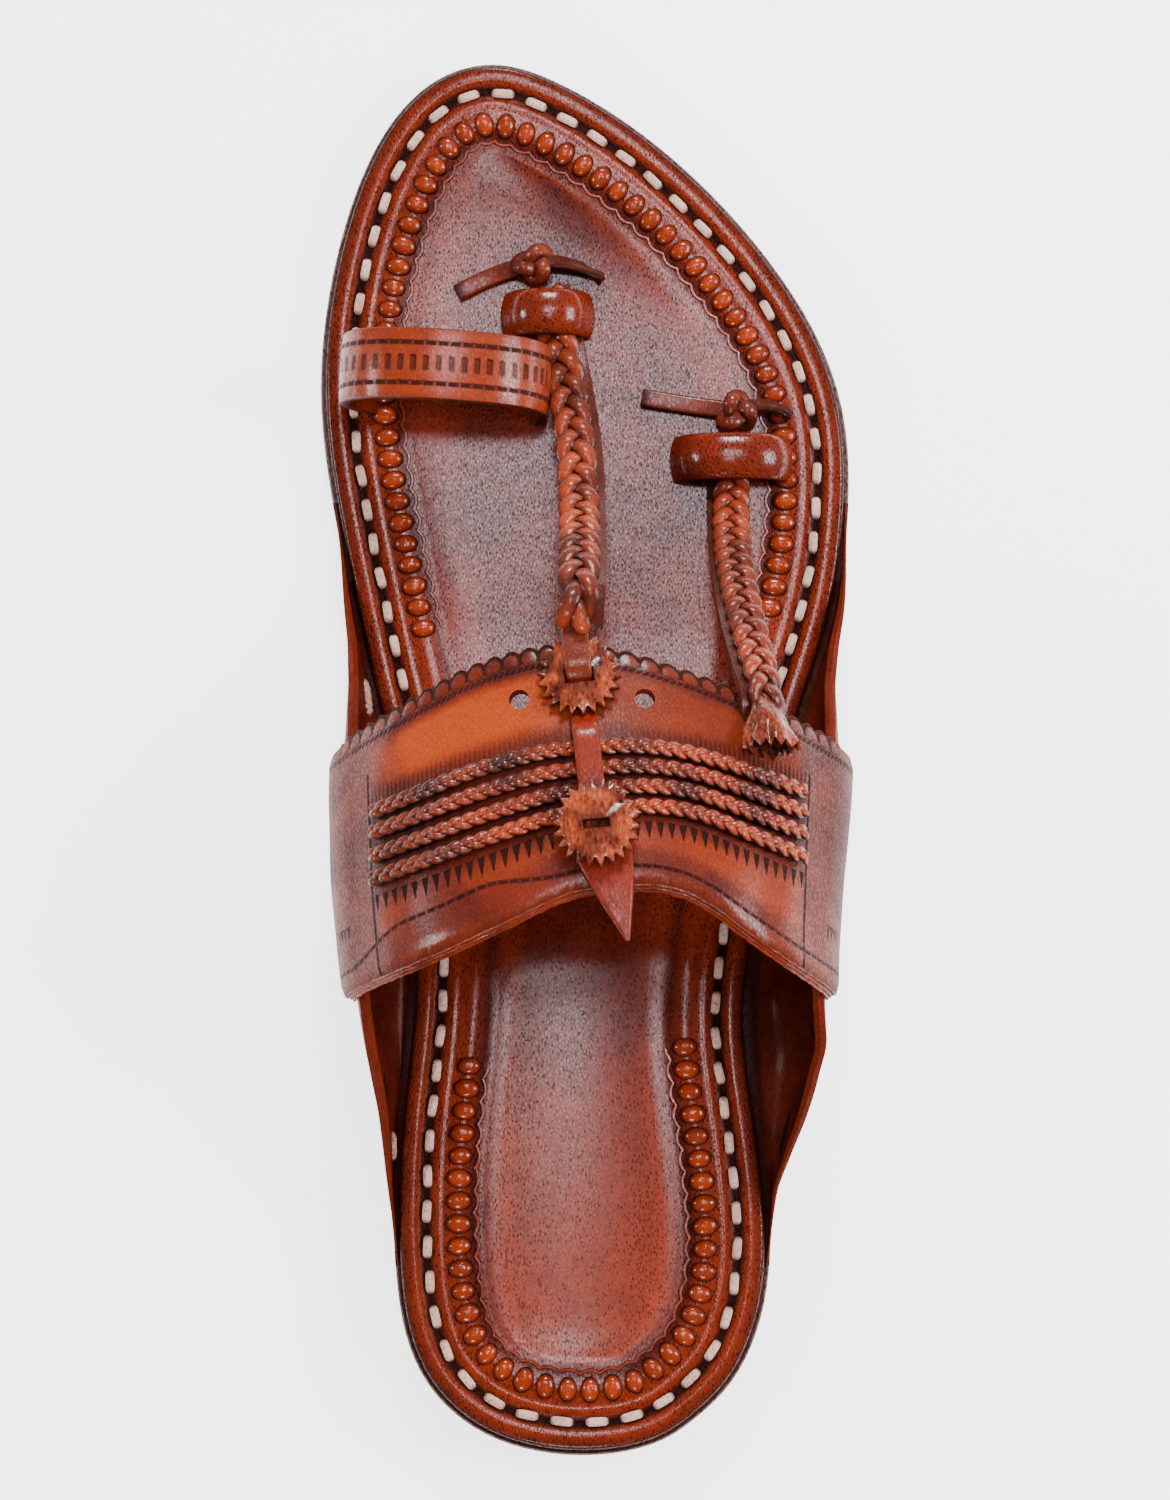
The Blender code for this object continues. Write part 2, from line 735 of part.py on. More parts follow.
def sweep(name, sections, material, smooth=35):
    """A closed solid through equal rings of points."""
    size = len(sections[0])
    vertices = [point for section in sections for point in section]
    faces = [tuple(range(size)), tuple(range(len(vertices) - size, len(vertices)))]
    for i in range(len(sections) - 1):
        for k in range(size):
            a, b = i * size + k, i * size + (k + 1) % size
            faces.append((a, b, b + size, a + size))
    return add_object(name, vertices, faces, material, smooth)


def thong(name, path, count, width, thickness, material, ups=None):
    """A flat strip whose underside follows the path; width may change along it."""
    sections = []
    for centre, across, up, place in strap_frames(path, count, ups)[0]:
        half = (width(place) if callable(width) else width) / 2
        low = [centre - across * half, centre + across * half]
        sections.append(low + [point + up * thickness for point in reversed(low)])
    return sweep(name, sections, material)


def braid(name, path, ups=None):
    """A flat strap with the braid's strips raised on it, left and right in turn."""
    length = strap_frames(path, 2, ups)[1]
    half, rise = STRAP_WIDTH / 2, BRAID_HEIGHT - BRAID_RELIEF
    sections = []
    for i, (centre, across, up, _) in enumerate(strap_frames(path, 2 * round(length / BRAID_PITCH), ups)[0]):
        left, right = rise + BRAID_RELIEF * (i % 2), rise + BRAID_RELIEF * ((i + 1) % 2)
        section = [
            (-half, 0),
            (half, 0),
            (half, STRAP_THICKNESS),
            (0.44 * BRAID_WIDTH, STRAP_THICKNESS + 0.6 * right),
            (0.26 * BRAID_WIDTH, STRAP_THICKNESS + right),
            (0, STRAP_THICKNESS + 0.9 * rise),
            (-0.26 * BRAID_WIDTH, STRAP_THICKNESS + left),
            (-0.44 * BRAID_WIDTH, STRAP_THICKNESS + 0.6 * left),
            (-half, STRAP_THICKNESS),
        ]
        sections.append([centre + across * x + up * h for x, h in section])
    return sweep(name, sections, BRAID_LEATHER, 25)


def on_insole(x, y, above=0.0):
    """Point just above the insole, over the bead border where that is raised."""
    inset = min(x - sole_edge(MEDIAL, y), sole_edge(LATERAL, y) - x)
    over_beads = 1 - ramp((abs(inset - BEAD_INSET) - BEAD_WIDTH / 2) / BEAD_WIDTH)
    return Vector((x, y, footbed(y) + BEAD_HEIGHT * over_beads + GAP + above))


def at_crest(s, h, x=0.0):
    """Point over the band's crest: s behind the front edge, h above the outer face."""
    front, side, back, up = crest_frame()
    return front + back * s + up * h + side * x


def band_spot(x, v):
    """Share u at which the band's outer face has this x."""
    low, high = 0.0, 1.0
    for _ in range(40):
        middle = (low + high) / 2
        if band_point(middle, v, BAND_THICKNESS).x < x:
            low = middle
        else:
            high = middle
    return low


def band_frame(u, v):
    """Point on the band's outer face with the outward normal and the direction to its rear edge."""
    point = band_point(u, v, BAND_THICKNESS)
    normal = (band_point(u, v, 2 * BAND_THICKNESS) - point).normalized()
    back = (band_point(u, v + 0.02, BAND_THICKNESS) - point).normalized()
    return point, normal, back


def punch_cutter(name, x):
    v = PUNCH_FROM_EDGE / BAND_SIDE_WIDTH
    point, normal, back = band_frame(band_spot(x, v), v)
    across = normal.cross(back).normalized()
    back = across.cross(normal)
    sections = []
    for reach in (-2 * BAND_THICKNESS, BAND_THICKNESS):
        angles = [2 * math.pi * k / 14 for k in range(14)]
        sections.append([
            point + normal * reach + (across * math.cos(a) + back * math.sin(a)) * PUNCH_RADIUS for a in angles
        ])
    return as_helper(sweep(name, sections, None))


def build_upper():
    """Instep band, toe ring and both braided straps, joined where they meet."""
    upper = build_band()
    over = STRIP_THICKNESS + ROSETTE_THICKNESS + 3 * GAP
    leaning = crest_frame()[3]
    level = Vector((0, 0, 1))
    center_path = [on_insole(*row) for row in CENTER_BRAID_PATH]
    center_path += [at_crest(-0.0120, over + 0.0002, 0.0020), at_crest(-0.0035, over, 0.0006)]
    center = braid("center_braid", center_path, [level] * 5 + [leaning] * 2)
    tongue_path = [at_crest(s, over + h) for s, h in TONGUE_PATH]
    tongue = thong("center_tongue", tongue_path, 8, STRIP_WIDTH, STRIP_THICKNESS, BRAID_LEATHER, [leaning] * 6)
    entry, normal, back = band_frame(band_spot(SIDE_ENTRY_X, 0), 0)
    side_path = [on_insole(*row) for row in SIDE_BRAID_PATH]
    side_path += [entry - back * 0.002 - normal * 0.0002, entry + back * 0.002 - normal * 0.0010]
    side = braid("side_braid", side_path, [level] * 4 + [level + normal * 0.5, normal, normal])
    ring = build_ring()
    for other in (center, tongue, side, ring):
        boolean(upper, as_helper(other), "UNION")
    middle = (CREST_FRONT_X * 3 + CREST_REAR_X) / 4
    for name, x in (("punch_medial", middle - PUNCH_SPREAD), ("punch_lateral", middle + PUNCH_SPREAD)):
        boolean(upper, punch_cutter(name, x), "DIFFERENCE")
    return upper


def build_cord(name, medial_place, crest_place, lateral_place):
    """A braided cord laid over the band; its place behind the front edge is given at its ends and the crest."""
    sections = []
    middle = (CREST_FRONT_X + CREST_REAR_X) / 2
    for i in range(21):
        x = CORD_END_X * math.sin(math.pi / 2 * (i / 10 - 1))
        bow = 1 - abs(x / CORD_END_X) ** 1.3
        side_place = medial_place if x < 0 else lateral_place
        v = side_place + (crest_place - side_place) * bow
        point, normal, back = band_frame(band_spot(x + middle, v), v)
        outline = [(-0.5, 0), (-0.42, 0.65), (-0.18, 1), (0.18, 1), (0.42, 0.65), (0.5, 0)]
        sections.append([point + back * CORD_WIDTH * a + normal * (GAP + CORD_HEIGHT * h) for a, h in outline])
    return sweep(name, sections, BRAID_LEATHER, 50)


def build_rosette(name, s, h, radius, slot_s, slot_length, slot_width):
    """A pinked disc over the crest with a slot across its middle."""
    count = 2 * ROSETTE_TEETH
    outer, inner = [], []
    half_length, half_width = slot_length / 2, slot_width / 2
    for k in range(count):
        angle = 2 * math.pi * k / count
        direction = (math.cos(angle), math.sin(angle))
        reach = radius - ROSETTE_TOOTH * (k % 2)
        outer.append((direction[0] * reach, s + direction[1] * reach))
        edge = min(half_width / max(abs(direction[0]), 1e-6), half_length / max(abs(direction[1]), 1e-6))
        inner.append((direction[0] * edge, slot_s + direction[1] * edge))
    rings = []
    for ring, height in ((outer, 0), (outer, 1), (inner, 1), (inner, 0)):
        rings.append([at_crest(v, h + ROSETTE_THICKNESS * height, u) for u, v in ring])
    vertices = [point for ring in rings for point in ring]
    faces = []
    for r in range(4):
        for k in range(count):
            a, b = r * count + k, r * count + (k + 1) % count
            c, d = (r + 1) % 4 * count + (k + 1) % count, (r + 1) % 4 * count + k
            faces.append((a, b, c, d))
    return add_object(name, vertices, faces, ROSETTE_LEATHER)


def build_strip():
    """The strip from below the front rosette, over the cords and below the rear one to its leaf."""
    under = {"band": 0, "cords": CORD_HEIGHT + 2 * GAP}
    path = [at_crest(s, under[what] + h, x) for s, h, x, what in STRIP_PATH]
    widths = steady(column(STRIP_WIDTHS, 0), column(STRIP_WIDTHS, 1))
    ups = [crest_frame()[3]] * len(path)
    return thong("center_strip", path, 44, widths, STRIP_THICKNESS, BRAID_LEATHER, ups)


def build_loop(name, y, left, right, top):
    """A short strap over the end of a braid, both its ends on the insole."""
    centre, half = (left + right) / 2, (right - left) / 2
    path = [on_insole(centre + half * across, y, top * up) for across, up in LOOP_ARCH]
    ups = [(across * 1.2, 0, 1 - 0.8 * abs(across)) for across, _ in LOOP_ARCH]
    return thong(name, path, 20, LOOP_LENGTH, LOOP_THICKNESS, THONG_LEATHER, ups)


def build_knot(name, thong_table):
    """A knot in a thong, both ends of the thong lying on the insole."""
    x, y = thong_table[0]
    left_tail, right_tail = thong_table[1:3], thong_table[3:5]
    sections = []
    for i in range(1, 8):
        angle = math.pi * i / 8
        ring = []
        for k in range(12):
            turn = 2 * math.pi * k / 12
            bulge = math.sin(angle) * (1 + 0.1 * math.sin(3 * turn + i))
            low = on_insole(x, y)
            across = -math.cos(angle) * KNOT_WIDTH / 2
            ring.append(low + Vector((
                across,
                bulge * math.cos(turn) * KNOT_LENGTH / 2,
                KNOT_HEIGHT / 2 * (1 + min(1.0, bulge) * math.sin(turn)),
            )))
        sections.append(ring)
    knot = sweep(name, sections, THONG_LEATHER, 50)
    for suffix, ends in (("_left", left_tail), ("_right", right_tail)):
        path = [on_insole(x, y + 0.0004, 0.0012)] + [on_insole(*end, 0.0002) for end in ends]
        tail = thong(name + suffix, path, 8, TAIL_WIDTH, TAIL_THICKNESS, THONG_LEATHER)
        boolean(knot, as_helper(tail), "UNION")
    return knot


def build_tassel():
    """A pinked scrap gathered into a cup, over the place where the side braid enters the band."""
    point, normal, back = band_frame(band_spot(SIDE_ENTRY_X, TASSEL_PLACE), TASSEL_PLACE)
    across = normal.cross(back).normalized()
    rings = []
    count = 2 * TASSEL_TEETH
    for radius, height in ((0.0012, 0), (0.55, 0.3), (1, 1), (0.97, 1.28), (0.5, 0.66), (0.0008, 0.5)):
        ring = []
        for k in range(count):
            angle = 2 * math.pi * k / count
            reach = radius * TASSEL_RADIUS * (1 - 0.16 * (k % 2) * (radius > 0.9))
            lift = GAP + TASSEL_HEIGHT * height * (1 + 0.18 * math.sin(3 * angle) * (radius > 0.2))
            ring.append(point + normal * lift + (across * math.cos(angle) + back * math.sin(angle)) * reach)
        rings.append(ring)
    return sweep("tassel_side", rings, ROSETTE_LEATHER)


for old in list(bpy.data.objects):
    bpy.data.objects.remove(old)
PIECES = collection_of("pieces")
CUTTERS = collection_of("cutters", hidden=True)
SOLE_LEATHER = leather("sole_leather", (0.28, 0.10, 0.05), 0.4)
INSOLE_LEATHER = leather("insole_leather", (0.10, 0.03, 0.02), 0.35)
EAR_LEATHER = leather("ear_leather", (0.12, 0.04, 0.025), 0.45)
BAND_LEATHER = leather("band_leather", (0.32, 0.09, 0.03), 0.4)
BRAID_LEATHER = leather("braid_leather", (0.20, 0.06, 0.035), 0.5)
ROSETTE_LEATHER = leather("rosette_leather", (0.24, 0.08, 0.04), 0.6)
THONG_LEATHER = leather("thong_leather", (0.26, 0.09, 0.045), 0.55)

build_outsole()
build_heel_lift()
build_insole()
build_ear("ear_medial", MEDIAL)
build_ear("ear_lateral", LATERAL)
build_upper()
for number, places in enumerate(CORDS, 1):
    build_cord("cord_%d" % number, *places)
over_strip = STRIP_THICKNESS + 2 * GAP
build_rosette(
    "rosette_front", FRONT_ROSETTE_AT, over_strip, ROSETTE_RADIUS,
    FRONT_ROSETTE_AT + 0.0013, FRONT_SLOT_LENGTH, FRONT_SLOT_WIDTH,
)
build_rosette(
    "rosette_rear", REAR_ROSETTE_AT, CORD_HEIGHT + 2 * GAP + over_strip, REAR_ROSETTE_RADIUS,
    REAR_ROSETTE_AT + 0.0004, REAR_SLOT_LENGTH, REAR_SLOT_WIDTH,
)
build_strip()
build_loop("anchor_loop_center", CENTER_LOOP_Y, CENTER_LOOP_LEFT, CENTER_LOOP_RIGHT, LOOP_HEIGHT)
build_loop("anchor_loop_side", SIDE_LOOP_Y, SIDE_LOOP_LEFT, SIDE_LOOP_RIGHT, LOOP_HEIGHT)
build_knot("knot_center", CENTER_KNOT)
build_knot("knot_side", SIDE_KNOT)
build_tassel()

for obj in list(bpy.data.objects):
    obj.location.y -= HEEL_LIFT_LENGTH / 2
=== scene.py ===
import math
import random

import bpy
from mathutils import Matrix, Vector, noise


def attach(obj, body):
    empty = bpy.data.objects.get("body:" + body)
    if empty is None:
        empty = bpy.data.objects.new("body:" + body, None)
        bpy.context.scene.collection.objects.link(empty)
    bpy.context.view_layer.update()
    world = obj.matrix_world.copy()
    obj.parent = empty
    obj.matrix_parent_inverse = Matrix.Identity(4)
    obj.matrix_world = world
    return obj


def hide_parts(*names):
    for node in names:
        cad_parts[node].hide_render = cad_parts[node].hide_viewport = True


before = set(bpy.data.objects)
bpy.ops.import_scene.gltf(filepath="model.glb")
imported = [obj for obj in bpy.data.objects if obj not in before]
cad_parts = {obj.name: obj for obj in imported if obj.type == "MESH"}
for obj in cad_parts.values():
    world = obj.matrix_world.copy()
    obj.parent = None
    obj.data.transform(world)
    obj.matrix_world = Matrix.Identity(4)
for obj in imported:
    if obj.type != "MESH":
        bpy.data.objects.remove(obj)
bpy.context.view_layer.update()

# right-foot sandal: heel at the bottom of the picture, toe at the top, outer side to the right
# the same sizes as the solids, in metres
sole = {
    "length": 0.285, "ballWidth": 0.109, "outsole": 0.005, "insole": 0.0035, "setback": 0.0012,
    "liftHeight": 0.007, "liftLength": 0.0885, "liftSetback": 0.0006, "treadRear": 0.168,
    "treadFront": 0.225, "toeSpring": 0.004, "gap": 0.0003, "origin": 0.04425,
}
# share of the length, then the inner and outer edges in shares of the ball width
outlineRows = [
    (0.000, -0.018, -0.018), (0.011, -0.175, 0.131), (0.025, -0.240, 0.187), (0.049, -0.302, 0.252),
    (0.076, -0.338, 0.293), (0.130, -0.364, 0.327), (0.246, -0.358, 0.306), (0.311, -0.341, 0.290),
    (0.396, -0.340, 0.319), (0.465, -0.362, 0.350), (0.533, -0.408, 0.401), (0.602, -0.449, 0.456),
    (0.670, -0.485, 0.482), (0.746, -0.512, 0.475), (0.800, -0.510, 0.429), (0.853, -0.489, 0.345),
    (0.907, -0.449, 0.224), (0.960, -0.377, 0.058), (0.987, -0.303, -0.065), (1.000, -0.190, -0.190),
]


def smoothCurve(xs, rows):
    # natural cubic spline through rows of numbers
    n, m = len(xs), len(rows[0])
    bends = [[0.0] * m for _ in xs]
    for c in range(m):
        lower, upper = [0.0] * n, [0.0] * n
        for i in range(1, n - 1):
            h0, h1 = xs[i] - xs[i - 1], xs[i + 1] - xs[i]
            slope = (rows[i + 1][c] - rows[i][c]) / h1 - (rows[i][c] - rows[i - 1][c]) / h0
            pivot = 2 * (h0 + h1) - h0 * lower[i - 1]
            lower[i] = h1 / pivot
            upper[i] = (6 * slope - h0 * upper[i - 1]) / pivot
        for i in range(n - 2, 0, -1):
            bends[i][c] = upper[i] - lower[i] * bends[i + 1][c]

    def at(x):
        i = 0
        while i < n - 2 and x > xs[i + 1]:
            i += 1
        h, a, b = xs[i + 1] - xs[i], xs[i + 1] - x, x - xs[i]
        found = []
        for c in range(m):
            value = (bends[i][c] * a**3 + bends[i + 1][c] * b**3) / (6 * h)
            value += (rows[i][c] / h - bends[i][c] * h / 6) * a
            found.append(value + (rows[i + 1][c] / h - bends[i + 1][c] * h / 6) * b)
        return found
    return at


def steadyCurve(xs, ys):
    # never overshoots its rows
    secants = [(ys[i + 1] - ys[i]) / (xs[i + 1] - xs[i]) for i in range(len(xs) - 1)]
    slopes = [secants[0]]
    for before, after in zip(secants, secants[1:]):
        slopes.append(2 * before * after / (before + after) if before * after > 0 else 0.0)
    slopes.append(secants[-1])

    def at(x):
        x = min(max(x, xs[0]), xs[-1])
        i = 0
        while i < len(xs) - 2 and x > xs[i + 1]:
            i += 1
        h = xs[i + 1] - xs[i]
        t = (x - xs[i]) / h
        found = (1 + 2 * t) * (1 - t) ** 2 * ys[i] + t * (1 - t) ** 2 * h * slopes[i]
        return found + t * t * (3 - 2 * t) * ys[i + 1] + t * t * (t - 1) * h * slopes[i + 1]
    return at


def ease(x):
    x = min(max(x, 0.0), 1.0)
    return x * x * (3 - 2 * x)


outlineCurve = smoothCurve([math.acos(1 - 2 * r[0]) for r in outlineRows], [r[1:] for r in outlineRows])


def soleEdge(side, y):
    share = min(max(y / sole["length"], 0.0), 1.0)
    return sole["ballWidth"] * outlineCurve(math.acos(1 - 2 * share))[0 if side < 0 else 1]


def groundAt(y):
    arch = ease((y - sole["liftLength"]) / (sole["treadRear"] - sole["liftLength"]))
    toe = max(0.0, (y - sole["treadFront"]) / (sole["length"] - sole["treadFront"]))
    return (sole["liftHeight"] + sole["gap"]) * (1 - arch) + sole["toeSpring"] * toe**2


def footbedAt(y):
    return groundAt(y) + sole["outsole"] + sole["gap"] + sole["insole"]


# camera: almost straight above, a little to the heel side
camera = {"target": (-0.0015, 0.0975, 0.02), "distance": 1.05, "tilt": 5.0, "frameHeight": 0.303}
cameraData = bpy.data.cameras.new("camera")
cameraData.sensor_fit = "VERTICAL"
cameraData.sensor_height = 24
cameraData.lens = 24 * camera["distance"] / camera["frameHeight"]
cameraData.clip_start = 0.05
cameraObject = bpy.data.objects.new("camera", cameraData)
bpy.context.scene.collection.objects.link(cameraObject)
tilt = math.radians(camera["tilt"])
away = Vector((0, -math.sin(tilt), math.cos(tilt))) * camera["distance"]
cameraObject.location = Vector(camera["target"]) + away
cameraObject.rotation_euler = (-away).to_track_quat("-Z", "Y").to_euler()
bpy.context.scene.camera = cameraObject
print("camera set")


class Wire:
    # a shader socket that takes part in plain sums
    def __init__(self, tree, socket=None):
        self.tree, self.socket = tree, socket

    def node(self, kind, settings=None, values=None, out=0):
        made = self.tree.nodes.new("ShaderNode" + kind)
        for name, value in (settings or {}).items():
            if name == "stops":
                elements = made.color_ramp.elements
                while len(elements) < len(value):
                    elements.new(0.5)
                for element, (place, colour) in zip(elements, value):
                    element.position = place
                    element.color = (*colour, 1) if isinstance(colour, tuple) else (colour, colour, colour, 1)
            else:
                setattr(made, name, value)
        for key, value in (values or {}).items():
            if isinstance(value, Wire):
                self.tree.links.new(value.socket, made.inputs[key])
            elif value is not None:
                made.inputs[key].default_value = value
        return Wire(self.tree, made.outputs[out])

    def maths(self, operation, a, b=0.0):
        return self.node("Math", {"operation": operation}, {0: a, 1: b})

    def __add__(self, other):
        return self.maths("ADD", self, other)

    def __radd__(self, other):
        return self.maths("ADD", other, self)

    def __sub__(self, other):
        return self.maths("SUBTRACT", self, other)

    def __rsub__(self, other):
        return self.maths("SUBTRACT", other, self)

    def __mul__(self, other):
        return self.maths("MULTIPLY", self, other)

    def __rmul__(self, other):
        return self.maths("MULTIPLY", other, self)

    def __truediv__(self, other):
        return self.maths("DIVIDE", self, other)

    def span(self, low, high, start=0.0, end=1.0):
        # smooth step from start to end while this goes from low to high
        return self.node("MapRange", {"interpolation_type": "SMOOTHSTEP"},
                         {"Value": self, "From Min": low, "From Max": high, "To Min": start, "To Max": end})

    def wave(self, pitch, shift=0.0):
        # 0 to 1 and back once every pitch
        return self.maths("PINGPONG", self + shift, pitch / 2) / (pitch / 2)

    def near(self, place, low, high):
        # 1 at a place, 0 further than high to either side of it
        return 1 - self.maths("ABSOLUTE", self - place).span(low, high)

    def mixed(self, first, second):
        # colour between two others by this factor
        made = self.node("Mix", {"data_type": "RGBA"}, {"Factor": self}, 2)
        for key, value in ((6, first), (7, second)):
            target = made.socket.node.inputs[key]
            if isinstance(value, Wire):
                self.tree.links.new(value.socket, target)
            else:
                target.default_value = (*value, 1)
        return made


def bigger(a, b):
    return a.maths("MAXIMUM", a, b)


def smaller(a, b):
    return a.maths("MINIMUM", a, b)


def patternPlace(wire):
    # the piece's own pattern coordinates, along and across, both in metres
    split = wire.node("SeparateXYZ", {}, {0: wire.node("UVMap", {"uv_map": "pattern"})})
    return split, Wire(wire.tree, split.socket.node.outputs[1])


def startMaterial(name):
    material = bpy.data.materials.new(name)
    material.use_nodes = True
    tree = material.node_tree
    shader = tree.nodes["Principled BSDF"]
    return material, tree, shader, Wire(tree)


def leather(name, look, pattern=None):
    # leather with mottled dye, lighter where worn and where highlights are painted, darker where burnt and where
    # shade is painted, with pores and creases darkened as painted shade. pattern(wire, where) gives marks:
    # height in metres, and masks for dark, light and gloss
    material, tree, shader, wire = startMaterial(name)
    dye = look.get("dye", (0.40, 0.225, 0.125))
    dyed = {k: tuple(a * b for a, b in zip(look[k], dye)) for k in ("deep", "mid", "bright", "burntAndShade")}
    look = dict(look, **dyed)
    where = wire.node("TexCoord", {}, {}, 3)
    warp = wire.node("TexNoise", {}, {"Vector": where, "Scale": 60.0, "Detail": 3.0, "Roughness": 0.6})
    mottle = wire.node("TexNoise", {}, {"Vector": where, "Scale": look["mottle"], "Detail": 6.0,
                                        "Roughness": 0.62, "Distortion": 0.6})
    dapple = wire.node("TexNoise", {}, {"Vector": where, "Scale": look["mottle"] * 5, "Detail": 4.0,
                                        "Roughness": 0.7})
    tone = (mottle * 0.65 + dapple * 0.35).span(0.36, 0.64)
    # this attribute lightens towards the bright colour: real wear, and painted highlight on bead crests and
    # strand tops. The next one darkens towards the dark colour: burnt edges, and painted shade at feet, grooves,
    # slits and between strands
    worn = wire.node("Attribute", {"attribute_name": "worn"}, {}, 2)
    burn = wire.node("Attribute", {"attribute_name": "burn"}, {}, 2)
    colour = tone.mixed(look["deep"], look["mid"])
    bright = smaller(worn * (0.55 + dapple * 0.9), 1.0)
    colour = bright.mixed(colour, look["bright"])
    darkness = smaller(burn * (0.7 + mottle * 0.6), 1.0)
    # cells are drawn out along one slanting direction
    drawn = wire.node("Mapping", {},
                      {"Vector": where, "Rotation": (0.0, 0.0, 0.7), "Scale": (1.0, 0.55, 1.0)})
    pores = wire.node("TexVoronoi", {"feature": "F1"},
                      {"Vector": drawn, "Scale": look["grain"], "Randomness": 0.75})
    pores = (1 - pores.span(0.14, 0.46)) * look.get("pores", 1.0)
    cells = wire.node("TexVoronoi", {"feature": "DISTANCE_TO_EDGE"},
                      {"Vector": drawn, "Scale": look["grain"] * 1.15, "Randomness": 1.0})
    creases = cells.span(0.02, 0.30)
    fine = wire.node("TexNoise", {}, {"Vector": where, "Scale": look["grain"] * 1.7, "Detail": 3.0})
    grain = creases * look.get("cells", 0.5) - pores + fine * look.get("fine", 0.4)
    height = grain * look["relief"] + warp * look["waves"]
    rough = look["rough"] + (1 - tone) * look["roughSpread"] + (1 - creases) * 0.20 + pores * 0.4
    if pattern:
        marks = pattern(wire, where)
        height = height + marks["height"]
        darkness = smaller(darkness + marks.get("dark", 0.0), 1.0)
        if "light" in marks:
            colour = marks["light"].mixed(colour, look["bright"])
        rough = rough + darkness * 0.1
    colour = (darkness * 0.9).mixed(colour, look["burntAndShade"])
    # painted shade: creases and pores are mixed towards the dark colour
    colour = ((1 - creases) * 0.22 + pores * look.get("poreShade", 0.35)).mixed(colour, look["burntAndShade"])
    tree.links.new(colour.socket, shader.inputs["Base Color"])
    tree.links.new(smaller(rough, 1.0).socket, shader.inputs["Roughness"])
    bump = wire.node("Bump", {}, {"Height": height, "Strength": 1.0, "Distance": 1.0})
    tree.links.new(bump.socket, shader.inputs["Normal"])
    if look["coat"]:
        shine = look["coat"] * (0.4 + creases * 0.6) * (1 - pores * 0.8) * (1 - darkness)
        if pattern and "gloss" in marks:
            shine = shine * marks["gloss"]
        tree.links.new(shine.socket, shader.inputs["Coat Weight"])
    shader.inputs["Coat Roughness"].default_value = look.get("coatRough", 0.25)
    shader.inputs["Specular IOR Level"].default_value = look.get("specular", 0.5)
    return material


class Solid:
    # gathers the vertices, faces, marks and pattern coordinates of one piece before it is made
    def __init__(self):
        self.vertices, self.faces, self.worn, self.burn, self.uvs = [], [], [], [], []

    def ring(self, points, worn=0.0, burn=0.0, uvs=None):
        start = len(self.vertices)
        self.vertices += points
        count = len(points)
        self.worn += worn if isinstance(worn, list) else [worn] * count
        self.burn += burn if isinstance(burn, list) else [burn] * count
        self.uvs += uvs or [(0.0, 0.0)] * count
        return list(range(start, start + count))

    def join(self, low, high, closed=True):
        count = len(low)
        for k in range(count if closed else count - 1):
            j = (k + 1) % count
            self.faces.append((low[k], low[j], high[j], high[k]))

    def loft(self, rings, flipped=False, capped=True, closed=True):
        # a skin over rings of points, its two ends closed when capped
        for low, high in zip(rings, rings[1:]):
            self.join(*((high, low) if flipped else (low, high)), closed)
        if capped:
            self.faces += [tuple(rings[0]), tuple(rings[-1][::-1] if flipped else rings[-1])]

    def make(self, name, material, slotName):
        # a mesh piece that rides with the sandal in place of the solid of the same slot
        nodes = [slotName]
        mesh = bpy.data.meshes.new(name)
        mesh.from_pydata([(v[0], v[1] - sole["origin"], v[2]) for v in self.vertices], [], self.faces)
        mesh.update()
        for key, values in (("worn", self.worn), ("burn", self.burn)):
            mesh.attributes.new(key, "FLOAT", "POINT").data.foreach_set("value", values)
        layer = mesh.uv_layers.new(name="pattern")
        for loop in mesh.loops:
            layer.data[loop.index].uv = self.uvs[loop.vertex_index]
        mesh.shade_smooth()
        mesh.set_sharp_from_angle(angle=math.radians(50))
        mesh.materials.append(material)
        piece = bpy.data.objects.new(name, mesh)
        bpy.context.scene.collection.objects.link(piece)
        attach(piece, "root")
        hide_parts(*nodes)
        return piece


def circle(count, shift=0.0):
    # cosine and sine of evenly spaced turns
    turns = [2 * math.pi * (k + shift) / count for k in range(count)]
    return [(math.cos(turn), math.sin(turn)) for turn in turns]


def runsAlong(points):
    # distance of each point from the first
    runs = [0.0]
    for a, b in zip(points, points[1:]):
        runs.append(runs[-1] + (b - a).length)
    return runs


def spaced(runs, steps):
    # evenly spaced places: number of the point before, share of the way to the next one, distance
    found, i = [], 0
    for k in range(steps + 1):
        wanted = runs[-1] * k / steps
        while i < len(runs) - 2 and runs[i + 1] < wanted:
            i += 1
        found.append((i, (wanted - runs[i]) / max(runs[i + 1] - runs[i], 1e-9), wanted))
    return found


# sole layers
def stationsOf(count):
    return [sole["length"] * (1 - math.cos(math.pi * i / count)) / 2 for i in range(count + 1)]


def outlineRing(ys, inset, blunt=False):
    # heel, outer side, toe, inner side; a blunt one ends straight across
    ring = [(soleEdge(1, y), y) for y in ys] + [(soleEdge(-1, y), y) for y in ys[-1 if blunt else -2:0:-1]]
    count = len(ring)
    moved = []
    for i, (x, y) in enumerate(ring):
        (ax, ay), (bx, by) = ring[i - 1], ring[(i + 1) % count]
        tx, ty = bx - ax, by - ay
        size = math.hypot(tx, ty)
        moved.append((x - ty / size * inset, y + tx / size * inset))
    return moved


